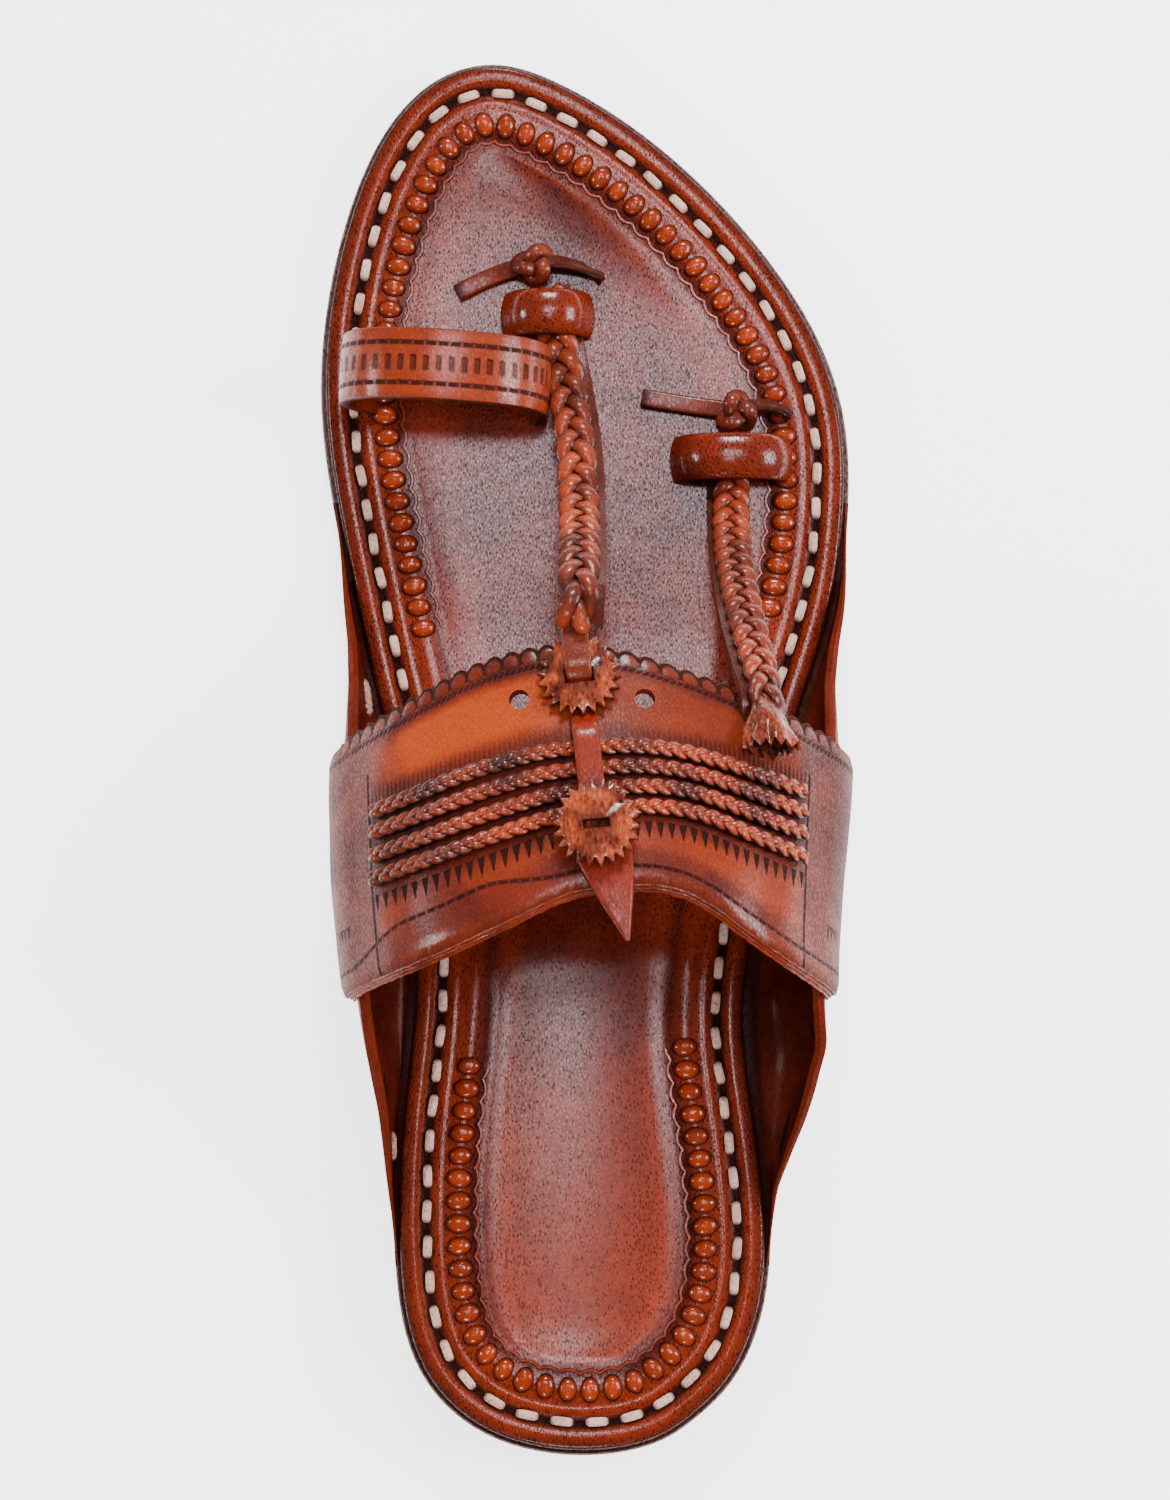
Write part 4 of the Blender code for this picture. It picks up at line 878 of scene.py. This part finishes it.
def makeBand():
    solid = Solid()
    columns, rows = 300, 26
    lengths = runsAlong([bandPoint(i / columns, 0.5, band["wall"]) for i in range(columns + 1)])
    middle = lengths[columns // 2]
    rings = []
    for i in range(columns + 1):
        u = i / columns
        s = lengths[i] - middle
        # the scallops stop at the smooth side panels
        scallop = band["scallopDepth"] * abs(math.sin(math.pi * s / band["scallop"])) / band["width"]
        scallop *= 1 - ease((abs(s) - 0.058) / 0.004)
        inner, outer, uvsOut, wornOut, burnOut = [], [], [], [], []
        for k in range(rows + 1):
            share = k / rows
            near = min(share, 1 - share)
            v = share - scallop * (1 - share) ** 3 + 0.0004 * math.sin(s * 900) * share**6
            fold = 0.0003 * noise.noise(Vector((s * 40, v * 3, 2.0)))
            rounded = 0.0005 if near < 0.02 else 0.0
            inner.append(bandPoint(u, v, fold))
            outer.append(bandPoint(u, v, band["wall"] + fold - rounded))
            uvsOut.append((s, v * band["width"]))
            wornOut.append(0.45 * (1 - ease(near / 0.05)))
            burnOut.append(0.75 * (1 - ease(near / 0.03)) + 0.12 * ease((abs(s) - 0.050) / 0.025))
        edgeFront = (inner[0] + outer[0]) / 2 + (inner[0] - inner[1]).normalized() * 0.0004
        rear = (inner[-1] - inner[-2]).normalized()
        layers, wornRear, rearBurnAndShade = [], [], []
        for place, out in rawLayers:
            rag = 0.00025 * noise.noise(Vector((s * 800, place * 9, 1.0)))
            layers.append(outer[-1].lerp(inner[-1], place) + rear * (out + rag))
            wornRear.append(0.0 if out < 0 else 0.35 + 0.5 * noise.noise(Vector((s * 300, place * 5, 4.0))))
            # layers set back from the edge are fully darkened: painted shade in the recesses; the others are
            # slightly darkened raw edge
            rearBurnAndShade.append(1.0 if out < 0 else 0.2)
        ring = outer + layers + inner[::-1] + [edgeFront]
        worn = wornOut + wornRear + [0.1] * len(inner) + [0.2]
        burn = burnOut + rearBurnAndShade + [0.35] * len(inner) + [0.8]
        uvs = uvsOut + [(s, -1.0)] * (len(layers) + len(inner) + 1)
        rings.append(solid.ring(ring, worn, burn, uvs))
    solid.loft(rings, flipped=True)
    piece = solid.make("band_leather", bandLeather, "upper")
    for x in punch["places"]:
        v, sides = punch["fromEdge"] / band["width"], punch["sides"]
        point, normal, back = bandFrame(bandSpot(x, v), v)
        hole = bpy.data.meshes.new("punch")
        across = normal.cross(back).normalized()
        back = across.cross(normal)
        points = []
        for reach in (punch["below"], punch["above"]):
            for c, s in circle(sides):
                spot = point + normal * reach + (across * c + back * s) * punch["radius"]
                points.append((spot.x, spot.y - sole["origin"], spot.z))
        faces = [(sides + k, sides + (k + 1) % sides, (k + 1) % sides, k) for k in range(sides)]
        faces += [tuple(range(sides)), tuple(range(2 * sides - 1, sides - 1, -1))]
        hole.from_pydata(points, [], faces)
        cutter = bpy.data.objects.new("punch", hole)
        bpy.context.scene.collection.objects.link(cutter)
        step = piece.modifiers.new("punch", "BOOLEAN")
        step.operation, step.solver, step.object = "DIFFERENCE", "EXACT", cutter
        bpy.context.view_layer.objects.active = piece
        with bpy.context.temp_override(object=piece, active_object=piece, selected_objects=[piece]):
            bpy.ops.object.modifier_apply(modifier="punch")
        bpy.data.objects.remove(cutter)
        bpy.data.meshes.remove(hole)


makeBand()
print("band made")


# straps, braids and cords
def pathFrames(path, count, ups=None):
    ups = ups or [(0, 0, 1)] * len(path)
    rows = [tuple(p) + tuple(u) for p, u in zip(path, ups)]
    curve = smoothCurve(list(range(len(path))), rows)
    fine = [curve((len(path) - 1) * i / 300) for i in range(301)]
    points = [Vector(f[:3]) for f in fine]
    runs, frames = runsAlong(points), []
    for i, share, wanted in spaced(runs, count):
        along = (points[i + 1] - points[i]).normalized()
        across = along.cross(Vector(fine[i][3:])).normalized()
        frames.append((points[i].lerp(points[i + 1], share), across, across.cross(along), along, wanted))
    return frames, runs[-1]


def strandInto(solid, centres, ups, width, thick, worn, sides=8, fadeAndRightLight=0.0):
    # one flat strand along centres, its wide side facing up. Its top is lighter, as wear and painted highlight,
    # more so to the right, as fading and painted light from the right; its sides and underside are darker, as
    # painted shade where strands meet and pass under each other
    rings = []
    for i, centre in enumerate(centres):
        ahead, behind = centres[min(i + 1, len(centres) - 1)], centres[max(i - 1, 0)]
        along = (ahead - behind).normalized()
        across = along.cross(ups[i]).normalized()
        up = across.cross(along)
        taper = 0.6 if i in (0, len(centres) - 1) else 1.0
        patch = 0.2 + 1.7 * max(0.0, 0.4 + noise.noise(centre * 110))
        ring, wearAndHighlight, burn = [], [], []
        for c, s in circle(sides, 0.5):
            x = math.copysign(abs(c) ** 0.7, c) * width / 2 * taper
            z = math.copysign(abs(s) ** 0.9, s) * thick / 2 * taper
            ring.append(centre + across * x + up * z)
            # painted highlight and wear: lighter on top, more so to the right as painted light from the right
            wearAndHighlight.append(worn * (1 + fadeAndRightLight * centre.x) * max(0.0, s) ** 2 * patch)
            # painted shade: darker at the sides and underneath
            burn.append(0.75 * max(0.0, abs(c) - 0.45) + (0.6 if s < -0.3 else 0.0))
        rings.append(solid.ring(ring, wearAndHighlight, burn))
    solid.loft(rings, flipped=True)


def braidInto(solid, path, ups, look):
    # three strands crossing in turn
    length = pathFrames(path, 4, ups)[1]
    count = max(24, int(length / look["step"]))
    frames = pathFrames(path, count, ups)[0]
    for strand in range(3):
        centres, tops = [], []
        for centre, across, up, _, run in frames:
            phase = 2 * math.pi * (run / look["period"] + strand / 3)
            # nearly straight from edge to edge
            sway, lift = math.asin(0.93 * math.sin(phase)) / math.asin(0.93), math.sin(2 * phase)
            raised = up * (look["base"] + look["lift"] * lift)
            centres.append(centre + across * (look["sway"] * sway) + raised)
            tops.append(up)
        strandInto(solid, centres, tops, look["strand"], look["thick"], look["worn"], look["sides"],
                   look.get("fadeAndRightLight", 0.0))


braidLook = {
    "deep": (0.085, 0.015, 0.008), "mid": (0.26, 0.044, 0.015), "bright": (0.95, 0.210, 0.075),
    "burntAndShade": (0.012, 0.003, 0.002), "mottle": 60.0, "grain": 1500.0, "relief": 0.00010,
    "waves": 0.0003, "pores": 0.3,
    "rough": 0.44, "roughSpread": 0.2, "coat": 0.7, "coatRough": 0.22, "specular": 0.15,
}
braidLeather = leather("braidLeather", braidLook)
cordLeather = leather("cordLeather", dict(braidLook, deep=(0.035, 0.008, 0.005), mid=(0.13, 0.024, 0.009),
                                          bright=(0.95, 0.190, 0.045), mottle=30.0, rough=0.36, coat=0.8))
stripThick, rosetteThick, cordHeight = 0.0012, 0.0016, 0.0022
over = stripThick + rosetteThick + 3 * sole["gap"]
level = Vector((0, 0, 1))
centerBraid = {
    "path": [onInsole(-0.0098, 0.2375, 0.0), onInsole(-0.0076, 0.2290, 0.0004), onInsole(-0.0052, 0.2160, 0.0050),
             onInsole(-0.0032, 0.2010, 0.0150), onInsole(-0.0026, 0.1850, 0.0285),
             atCrest(-0.0120, over + 0.0002, 0.0020), atCrest(-0.0035, over, 0.0006)],
    "ups": [level] * 5 + [crestUp] * 2,
    "sway": 0.0025, "lift": 0.00115, "base": 0.0026, "strand": 0.0034, "thick": 0.0016, "period": 0.0185,
    "step": 0.0007, "worn": 0.7, "sides": 10,
}
sideEntry = 0.0325
entry, entryNormal, entryBack = bandFrame(bandSpot(sideEntry, 0), 0)
sideBraid = dict(centerBraid, period=0.0138, strand=0.0031, lift=0.0010, path=[
    onInsole(0.0285, 0.2066, 0.0), onInsole(0.0284, 0.1985, 0.0002), onInsole(0.0283, 0.1900, 0.0034),
    onInsole(0.0286, 0.1780, 0.0160), onInsole(0.0300, 0.1640, 0.0320),
    entry - entryBack * 0.002 - entryNormal * 0.0002, entry + entryBack * 0.002 - entryNormal * 0.0010],
    ups=[level] * 4 + [level + entryNormal * 0.5, entryNormal, entryNormal])


def backingInto(solid, path, ups, width, thick, shift=0.0):
    # the flat strap under a braid
    rings = []
    section = [(-1, 0.05), (-0.96, 0.0), (0.96, 0.0), (1, 0.05), (1, 0.95), (0.96, 1.0), (-0.96, 1.0), (-1, 0.95)]
    for centre, across, up, _, _ in pathFrames(path, 60, ups)[0]:
        middle = centre + across * shift
        points = [middle + across * (x * width / 2) + up * (z * thick) for x, z in section]
        rings.append(solid.ring(points, 0.2, 0.55))
    solid.loft(rings, capped=False)
    solid.faces += [tuple(rings[0][::-1]), tuple(rings[-1])]


def makeBraids():
    for name, look, shift in (("center_braid", centerBraid, -0.0012), ("side_braid", sideBraid, 0.0008)):
        solid = Solid()
        braidInto(solid, look["path"], look["ups"], look)
        backingInto(solid, look["path"], look["ups"], 0.0082, 0.0014, shift)
        solid.make(name, braidLeather, "upper")


makeBraids()

# rows hold each cord's place behind the band's front edge at the inner end, crest and outer end, in shares
cords = {"rows": [(0.370, 0.437, 0.292), (0.453, 0.526, 0.374), (0.545, 0.615, 0.462), (0.633, 0.704, 0.555)],
         "endX": 0.0415, "middle": -0.0008, "sway": 0.00088, "lift": 0.00038, "base": 0.0012, "strand": 0.00170,
         "thick": 0.00105, "period": 0.0084, "step": 0.00042, "worn": 0.7, "sides": 8, "fadeAndRightLight": 14.0}


def makeCords():
    for number, (inner, crestPlace, outer) in enumerate(cords["rows"], 1):
        path, ups = [], []
        for i in range(21):
            x = cords["endX"] * math.sin(math.pi / 2 * (i / 10 - 1))
            sidePlace = inner if x < 0 else outer
            v = sidePlace + (crestPlace - sidePlace) * (1 - abs(x / cords["endX"]) ** 1.3)
            point, normal, _ = bandFrame(bandSpot(x + cords["middle"], v), v)
            path.append(point + normal * sole["gap"] * 0.5)
            ups.append(normal)
        solid = Solid()
        braidInto(solid, path, ups, cords)
        solid.make("cord_%d_braid" % number, cordLeather, "cord_%d" % number)


makeCords()
print("braids and cords made")


# toe ring
ring = {"left": -0.0502, "span": 0.0417, "height": 0.0255, "width": 0.0144, "wall": 0.0022, "y": 0.218,
        "yaw": -3.4}
ringArch = [(0.125, -0.055), (0.115, 0.080), (0.020, 0.320), (0.030, 0.660), (0.160, 0.900), (0.400, 1.000),
            (0.660, 0.970), (0.860, 0.830), (0.955, 0.550), (0.965, 0.250), (0.960, -0.055)]


def ringMarks(wire, where):
    # a broken line near each edge and a row of upright dents between them
    x, y = patternPlace(wire)
    off = wire.maths("ABSOLUTE", y)
    line = off.near(0.0041, 0.0003, 0.0007)
    dash = x.wave(0.0024).span(0.15, 0.35)
    dents = x.wave(0.0025).span(0.40, 0.80) * (1 - off.span(0.0012, 0.0018))
    dents = dents * x.span(0.014, 0.015) * (1 - x.span(0.066, 0.067))
    dark = bigger(line * (0.55 + dash * 0.45), dents * 0.75)
    return {"height": line * -0.0004 + line * dash * 0.0003 + dents * -0.0009, "dark": dark}


ringLook = dict(bandLook, mid=(0.62, 0.095, 0.009), deep=(0.28, 0.038, 0.008), rough=0.30, coat=0.8,
                mottle=40.0)
ringLeather = leather("ringLeather", ringLook, ringMarks)


def makeRing():
    archCurve = smoothCurve(list(range(len(ringArch))), ringArch)
    yaw = math.radians(ring["yaw"])
    aside = Vector((-math.sin(yaw), math.cos(yaw), 0))
    centres, steps = [], 120
    for i in range(steps + 1):
        across, up = archCurve(i / steps * (len(ringArch) - 1))
        x = ring["left"] + ring["span"] * across
        y = ring["y"] + math.tan(yaw) * (x - ring["left"] - ring["span"] / 2)
        centres.append(Vector((x, y, footbedAt(y) + ring["height"] * up)))
    solid, rings = Solid(), []
    half, wall, crown, soft = ring["width"] / 2, ring["wall"] / 2, 0.0003, 0.0003
    section = [(-half + soft + (2 * half - 2 * soft) * k / 10, wall) for k in range(11)]
    section += [(half, wall * 0.6), (half, -wall * 0.6)]
    section += [(half - soft - (2 * half - 2 * soft) * k / 10, -wall) for k in range(11)]
    section += [(-half, -wall * 0.6), (-half, wall * 0.6)]
    for i, (centre, run) in enumerate(zip(centres, runsAlong(centres))):
        ahead, behind = centres[min(i + 1, steps)], centres[max(i - 1, 0)]
        up = (ahead - behind).normalized().cross(aside).normalized()
        points = [centre + aside * a + up * (b + crown * (1 - (a / half) ** 2)) for a, b in section]
        top = [0.45 if k in (0, 10) else 0.3 for k in range(11)]
        burn = [0.35 if k in (0, 10) else 0.0 for k in range(11)] + [0.85, 0.85] + [0.4] * 11 + [0.85, 0.85]
        uvs = [(run, a) for a, _ in section[:11]] + [(run, 1.0)] * 15
        rings.append(solid.ring(points, top + [0.1] * 15, burn, uvs))
    solid.loft(rings, flipped=True)
    solid.make("toe_ring_leather", ringLeather, "upper")


makeRing()


# flat strips: tongue, centre strip with its leaf, anchor loops and thong ends
def stripInto(solid, path, ups, width, thick, count=60, worn=0.35, burnEnd=0.0, bulge=0.0, burnAll=0.0):
    frames, length = pathFrames(path, count, ups)
    rings = []
    for centre, across, up, _, run in frames:
        half = (width(run / length) if callable(width) else width) / 2
        soft = min(0.00035, half * 0.4)
        section = [(-half, thick * 0.3), (-half, thick * 0.7)]
        for k in range(9):
            x = (half - soft) * (k / 4 - 1)
            section.append((x, thick + (bulge + thick * 0.06) * (1 - (x / half) ** 2)))
        section += [(half, thick * 0.7), (half, thick * 0.3)]
        for k in range(9):
            x = (half - soft) * (1 - k / 4)
            section.append((x, bulge * (1 - (x / half) ** 2)))
        end = burnAll + burnEnd * ease((run / length - 0.85) / 0.15)
        wearAndHighlight = [0.0, 0.25] + [worn if k in (0, 8) else worn * 0.6 for k in range(9)] + [0.25] + [0.0] * 10
        burn = [0.8, 0.55] + [end] * 9 + [0.55, 0.8] + [0.5] * 9
        rings.append(solid.ring([centre + across * x + up * z for x, z in section], wearAndHighlight, burn))
    solid.loft(rings, flipped=True)


overCords = cordHeight + 2 * sole["gap"]
overStrip = stripThick + 2 * sole["gap"]
thongLook = dict(braidLook, mid=(0.26, 0.042, 0.014), deep=(0.10, 0.017, 0.008), bright=(0.60, 0.120, 0.036),
                 grain=1200.0)
thongLeather = leather("thongLeather", thongLook)
stripLeather = leather("stripLeather", dict(thongLook, mid=(0.46, 0.055, 0.010), deep=(0.18, 0.022, 0.007),
                                            bright=(0.78, 0.120, 0.016), rough=0.36, coat=0.5, mottle=45.0,
                                            relief=0.00007, pores=0.4))
strip = {
    "path": [atCrest(*row) for row in (
        (0.0106, 0.0003), (0.0124, 0.0003), (0.0150, 0.0004), (0.0172, 0.0018), (0.0194, overCords + 0.0002),
        (0.0245, overCords + 0.0001), (0.0305, overCords + 0.0001), (0.0356, overCords + 0.0001, 0.0001),
        (0.0384, 0.0019, 0.0003), (0.0412, 0.0005, 0.0006), (0.0450, 0.0004, 0.0013), (0.0500, 0.0004, 0.0021),
        (0.0608, -0.0006, 0.0037))],
    "width": steadyCurve([0, 0.52, 0.65, 0.81, 0.92, 1], [0.0052, 0.0052, 0.0108, 0.0072, 0.0036, 0.0008]),
}
tongue = [atCrest(s, over + h) for s, h in (
    (-0.0075, 0.0002), (0.0010, 0.0), (0.0050, -0.0002), (0.0065, -0.0014), (0.0073, -0.0030), (0.0076, -0.0047))]
loops = {"length": 0.0095, "height": 0.0058, "thick": 0.0013, "bulge": 0.0011}
# name, place along the foot, inner end, outer end
anchorLoops = [("anchor_loop_center", 0.2322, -0.0166, -0.0018), ("anchor_loop_side", 0.2024, 0.0180, 0.0388)]


def makeStrips():
    solid = Solid()
    stripInto(solid, strip["path"], [crestUp] * len(strip["path"]), strip["width"], stripThick, 120)
    solid.make("center_strip_leaf", stripLeather, "center_strip")
    solid = Solid()
    stripInto(solid, tongue, [crestUp] * 6, 0.0052, stripThick, 30)
    solid.make("center_tongue", braidLeather, "upper")
    arch = [(-1.0, 0.0), (-0.84, 0.42), (-0.52, 0.86), (0.0, 1.0), (0.52, 0.86), (0.84, 0.42), (1.0, 0.0)]
    for name, y, left, right in anchorLoops:
        centre, half = (left + right) / 2, (right - left) / 2
        path = [onInsole(centre + half * a, y, loops["height"] * h) for a, h in arch]
        solid = Solid()
        ups = [(a * 1.2, 0, 1 - 0.8 * abs(a)) for a, _ in arch]
        stripInto(solid, path, ups, loops["length"], loops["thick"], 48, 0.3, bulge=loops["bulge"])
        solid.make(name + "_strap", insoleLeather, name)


makeStrips()


# knots: a thong tied on itself, with two loose ends
knots = {"reach": (0.00115, 0.00098, 0.0013), "lift": 0.0032, "width": 0.0031, "thick": 0.0016}
# name, x, y, turned by, points of the left end, points of the right end
knotRows = [
    ("knot_center", -0.0120, 0.2425, 0.4, [(-0.0200, 0.2405), (-0.0277, 0.2368)],
     [(-0.0040, 0.2418), (0.0016, 0.2390)]),
    ("knot_side", 0.0296, 0.2118, 1.1, [(0.0200, 0.2136), (0.0101, 0.2152)],
     [(0.0360, 0.2126), (0.0400, 0.2104)]),
]


def makeKnot(name, x, y, turn, leftEnd, rightEnd):
    solid = Solid()
    low = onInsole(x, y)
    centres, ups = [], []
    spin = Matrix.Rotation(turn, 3, "Z")
    for i in range(97):
        t = 2 * math.pi * i / 96
        point = Vector((math.sin(t) + 2 * math.sin(2 * t), math.cos(t) - 2 * math.cos(2 * t), -math.sin(3 * t)))
        point = spin @ Vector([size * reach for size, reach in zip(point, knots["reach"])])
        centres.append(low + point + Vector((0, 0, knots["lift"])))
        ups.append(Vector((point.x * 90, point.y * 90, 1.0)).normalized())
    strandInto(solid, centres, ups, knots["width"], knots["thick"], 0.55, 10)
    path = [onInsole(x, y + 0.0004, 0.0014)] + [onInsole(px, py, 0.0003) for px, py in leftEnd]
    stripInto(solid, path, None, 0.0036, 0.0014, 40, 0.45, 1.0)
    # the right end is twisted and dark
    path = [onInsole(x, y + 0.0004, 0.0020)] + [onInsole(px, py, 0.0014) for px, py in rightEnd]
    ups = [(0.0, math.sin(a), math.cos(a)) for a in (0.2, 1.0, 1.9)]
    stripInto(solid, path, ups, 0.0032, 0.0016, 40, 0.3, 0.3, burnAll=0.55)
    solid.make(name + "_thong", thongLeather, name)


for row in knotRows:
    makeKnot(*row)
print("ring, strips and knots made")


# pinked rosettes and the tassel
rosetteLook = dict(bandLook, deep=(0.11, 0.021, 0.010), mid=(0.32, 0.058, 0.020), bright=(1.0, 0.300, 0.150),
                   rough=0.42, coat=1.0, coatRough=0.16, grain=850.0, relief=0.00042, mottle=90.0, pores=0.8)
rosetteLeather = leather("rosetteLeather", rosetteLook)


rosette = {"teeth": 22, "steps": 10, "thick": 0.0015, "tooth": 0.0019, "curl": 0.0005, "toothCurl": 0.0004}
# node, behind the front edge, above the band, radius, slot's place, its half width and half length, droop
rosetteRows = [
    ("rosette_front", 0.0065, overStrip, 0.0082, 0.0065 + 0.0005, 0.0029, 0.0015, 0.0012),
    ("rosette_rear", 0.0382, overCords + overStrip, 0.0085, 0.0382 + 0.0004, 0.0026, 0.0010, 0.0013),
]


def makeRosette(node, s, h, radius, slotS, halfWide, halfLong, droop):
    # a thick pinked disc, its teeth curling, with a slot across
    solid, rings = Solid(), []
    steps, thick = rosette["steps"], rosette["thick"]
    count = rosette["teeth"] * steps
    profile = [(1.0, 0.15), (1.0, 0.75), (0.975, 1.0), (0.88, 1.04), (0.74, 1.0), (0.58, 1.03)]
    for share, height in profile + [(0.0, 1.0), (0.0, 0.0), (0.6, 0.0), (0.97, 0.0)]:
        points, wearAndHighlight = [], []
        for k, (c, sn) in enumerate(circle(count)):
            patch = noise.noise(Vector((c * share * 3.2, sn * share * 3.2, s * 70)))
            wearAndHighlight.append(min(max((0.6 if share > 0.9 else 0.45) + 1.3 * patch, 0.0), 1.0))
            if share:
                tooth = abs((k / steps) % 1 - 0.5) * 2
                reach = radius * share - rosette["tooth"] * tooth * ease((share - 0.8) / 0.2)
                wobble = noise.noise(Vector((c * 2.2, sn * 2.2, s * 90)))
                curl = (rosette["curl"] * wobble - droop * ease(abs(c) * 1.6 - 0.3)) * share**3
                curl += rosette["toothCurl"] * (1 - tooth) * ease((share - 0.85) / 0.1) * wobble
                stretch = 1.07 + 0.03 * wobble
                points.append(atCrest(s + sn * reach * stretch, h + thick * height + curl, c * reach))
            else:
                edge = min(halfWide / max(abs(c), 1e-6), halfLong / max(abs(sn), 1e-6))
                points.append(atCrest(slotS + sn * edge, h + thick * height, c * edge))
        # the slot's edge is darkened, painted shade in the slot; the rim's side and the underside are darker as
        # well
        rings.append(solid.ring(points, wearAndHighlight, 0.55 if height < 0.8 else (0.7 if not share else 0.05)))
    solid.loft(rings + rings[:1], flipped=True, capped=False)
    solid.make(node + "_pinked", rosetteLeather, node)


for row in rosetteRows:
    makeRosette(*row)


tassel = {"teeth": 14, "steps": 8, "length": 0.0118, "start": 0.0016, "tooth": 0.0018, "flat": 0.66}


def makeTassel():
    # a pinked scrap rolled round the end of the side braid, open to the rear
    across = entryNormal.cross(entryBack).normalized()
    outside = steadyCurve([0.0, 0.2, 0.5, 0.8, 1.0], [0.0018, 0.0026, 0.0039, 0.0048, 0.0054])
    solid, rings, steps = Solid(), [], tassel["steps"]
    count = tassel["teeth"] * steps
    # outer face to the pinked rim, then the inner face back, as place along and how far inward
    profile = [(place, 0.0) for place in (0.0, 0.1, 0.25, 0.4, 0.55, 0.7, 0.82, 0.92, 1.0)]
    profile += [(1.0, 0.0009), (0.85, 0.0011), (0.65, 0.0012), (0.5, 0.0024), (0.45, 0.0034)]
    for place, inward in profile:
        points, worn = [], []
        for k in range(count):
            angle = 2 * math.pi * k / count
            tooth = abs((k / steps) % 1 - 0.5) * 2
            fold = 0.16 * math.sin(3 * angle + place * 5) * place
            fold += 0.10 * math.sin(7 * angle - place * 4) * place
            reach = max(outside(place) * (1 + fold) - inward, 0.0003)
            run = place * tassel["length"] - tassel["start"]
            run += tassel["tooth"] * (1 - tooth) * ease((place - 0.8) / 0.2)
            lift = sole["gap"] + outside(place) * tassel["flat"] + reach * tassel["flat"] * math.sin(angle)
            points.append(entry + entryBack * run + entryNormal * lift + across * (reach * math.cos(angle)))
            worn.append(0.25 + 0.5 * max(0.0, math.sin(3 * angle + place * 5)) * place)
        # the inner face is darkened, painted shade inside the roll; the outer face darkens towards the neck
        rings.append(solid.ring(points, worn, 0.7 if inward else 0.25 * (1 - place)))
    solid.loft(rings, flipped=True)
    solid.make("tassel_side_pinked", rosetteLeather, "tassel_side")


makeTassel()
print("rosettes and tassel made")


# studio
def makeStudio():
    material, _, shader, _ = startMaterial("studioFloor")
    shader.inputs["Base Color"].default_value = (0.95, 0.95, 0.95, 1)
    shader.inputs["Roughness"].default_value = 0.7
    shader.inputs["Emission Color"].default_value = (1, 1, 1, 1)
    shader.inputs["Emission Strength"].default_value = 2.5
    mesh = bpy.data.meshes.new("floor")
    mesh.from_pydata([(-3, -3, 0), (3, -3, 0), (3, 3, 0), (-3, 3, 0)], [], [(0, 1, 2, 3)])
    mesh.materials.append(material)
    floor = bpy.data.objects.new("floor", mesh)
    bpy.context.scene.collection.objects.link(floor)
    world = bpy.data.worlds.new("studio")
    world.use_nodes = True
    world.node_tree.nodes["Background"].inputs[0].default_value = (1.0, 1.0, 1.0, 1)
    world.node_tree.nodes["Background"].inputs[1].default_value = 0.11
    bpy.context.scene.world = world
    lamps = [
        # name, place, aimed at, size, watts, colour
        ("toeBox", (0.08, 0.50, 1.6), (0, 0.25, 0), 0.42, 8.5, (1.0, 0.86, 0.92)),
        ("heelBox", (0.03, 0.09, 1.6), (0, 0.05, 0), 0.15, 1.6, (1.0, 0.88, 0.92)),
        ("left", (-1.35, 0.25, 0.85), (0, 0.1, 0), 0.35, 12.0, (1.0, 0.94, 0.93)),
        ("right", (1.25, 0.25, 0.95), (0, 0.1, 0), 0.70, 31.0, (1.0, 0.93, 0.95)),
        ("front", (0.1, 1.35, 1.0), (0, 0.1, 0), 0.40, 28.0, (1.0, 0.95, 0.95)),
        ("behind", (-0.1, -1.2, 1.0), (0, 0.05, 0), 0.40, 14.0, (1.0, 0.95, 0.94)),
    ]
    for name, place, aim, size, watts, colour in lamps:
        data = bpy.data.lights.new(name, "AREA")
        data.size, data.energy, data.color = size, watts, colour
        lamp = bpy.data.objects.new(name, data)
        lamp.location = place
        lamp.rotation_euler = (Vector(aim) - Vector(place)).to_track_quat("-Z", "Y").to_euler()
        bpy.context.scene.collection.objects.link(lamp)


makeStudio()
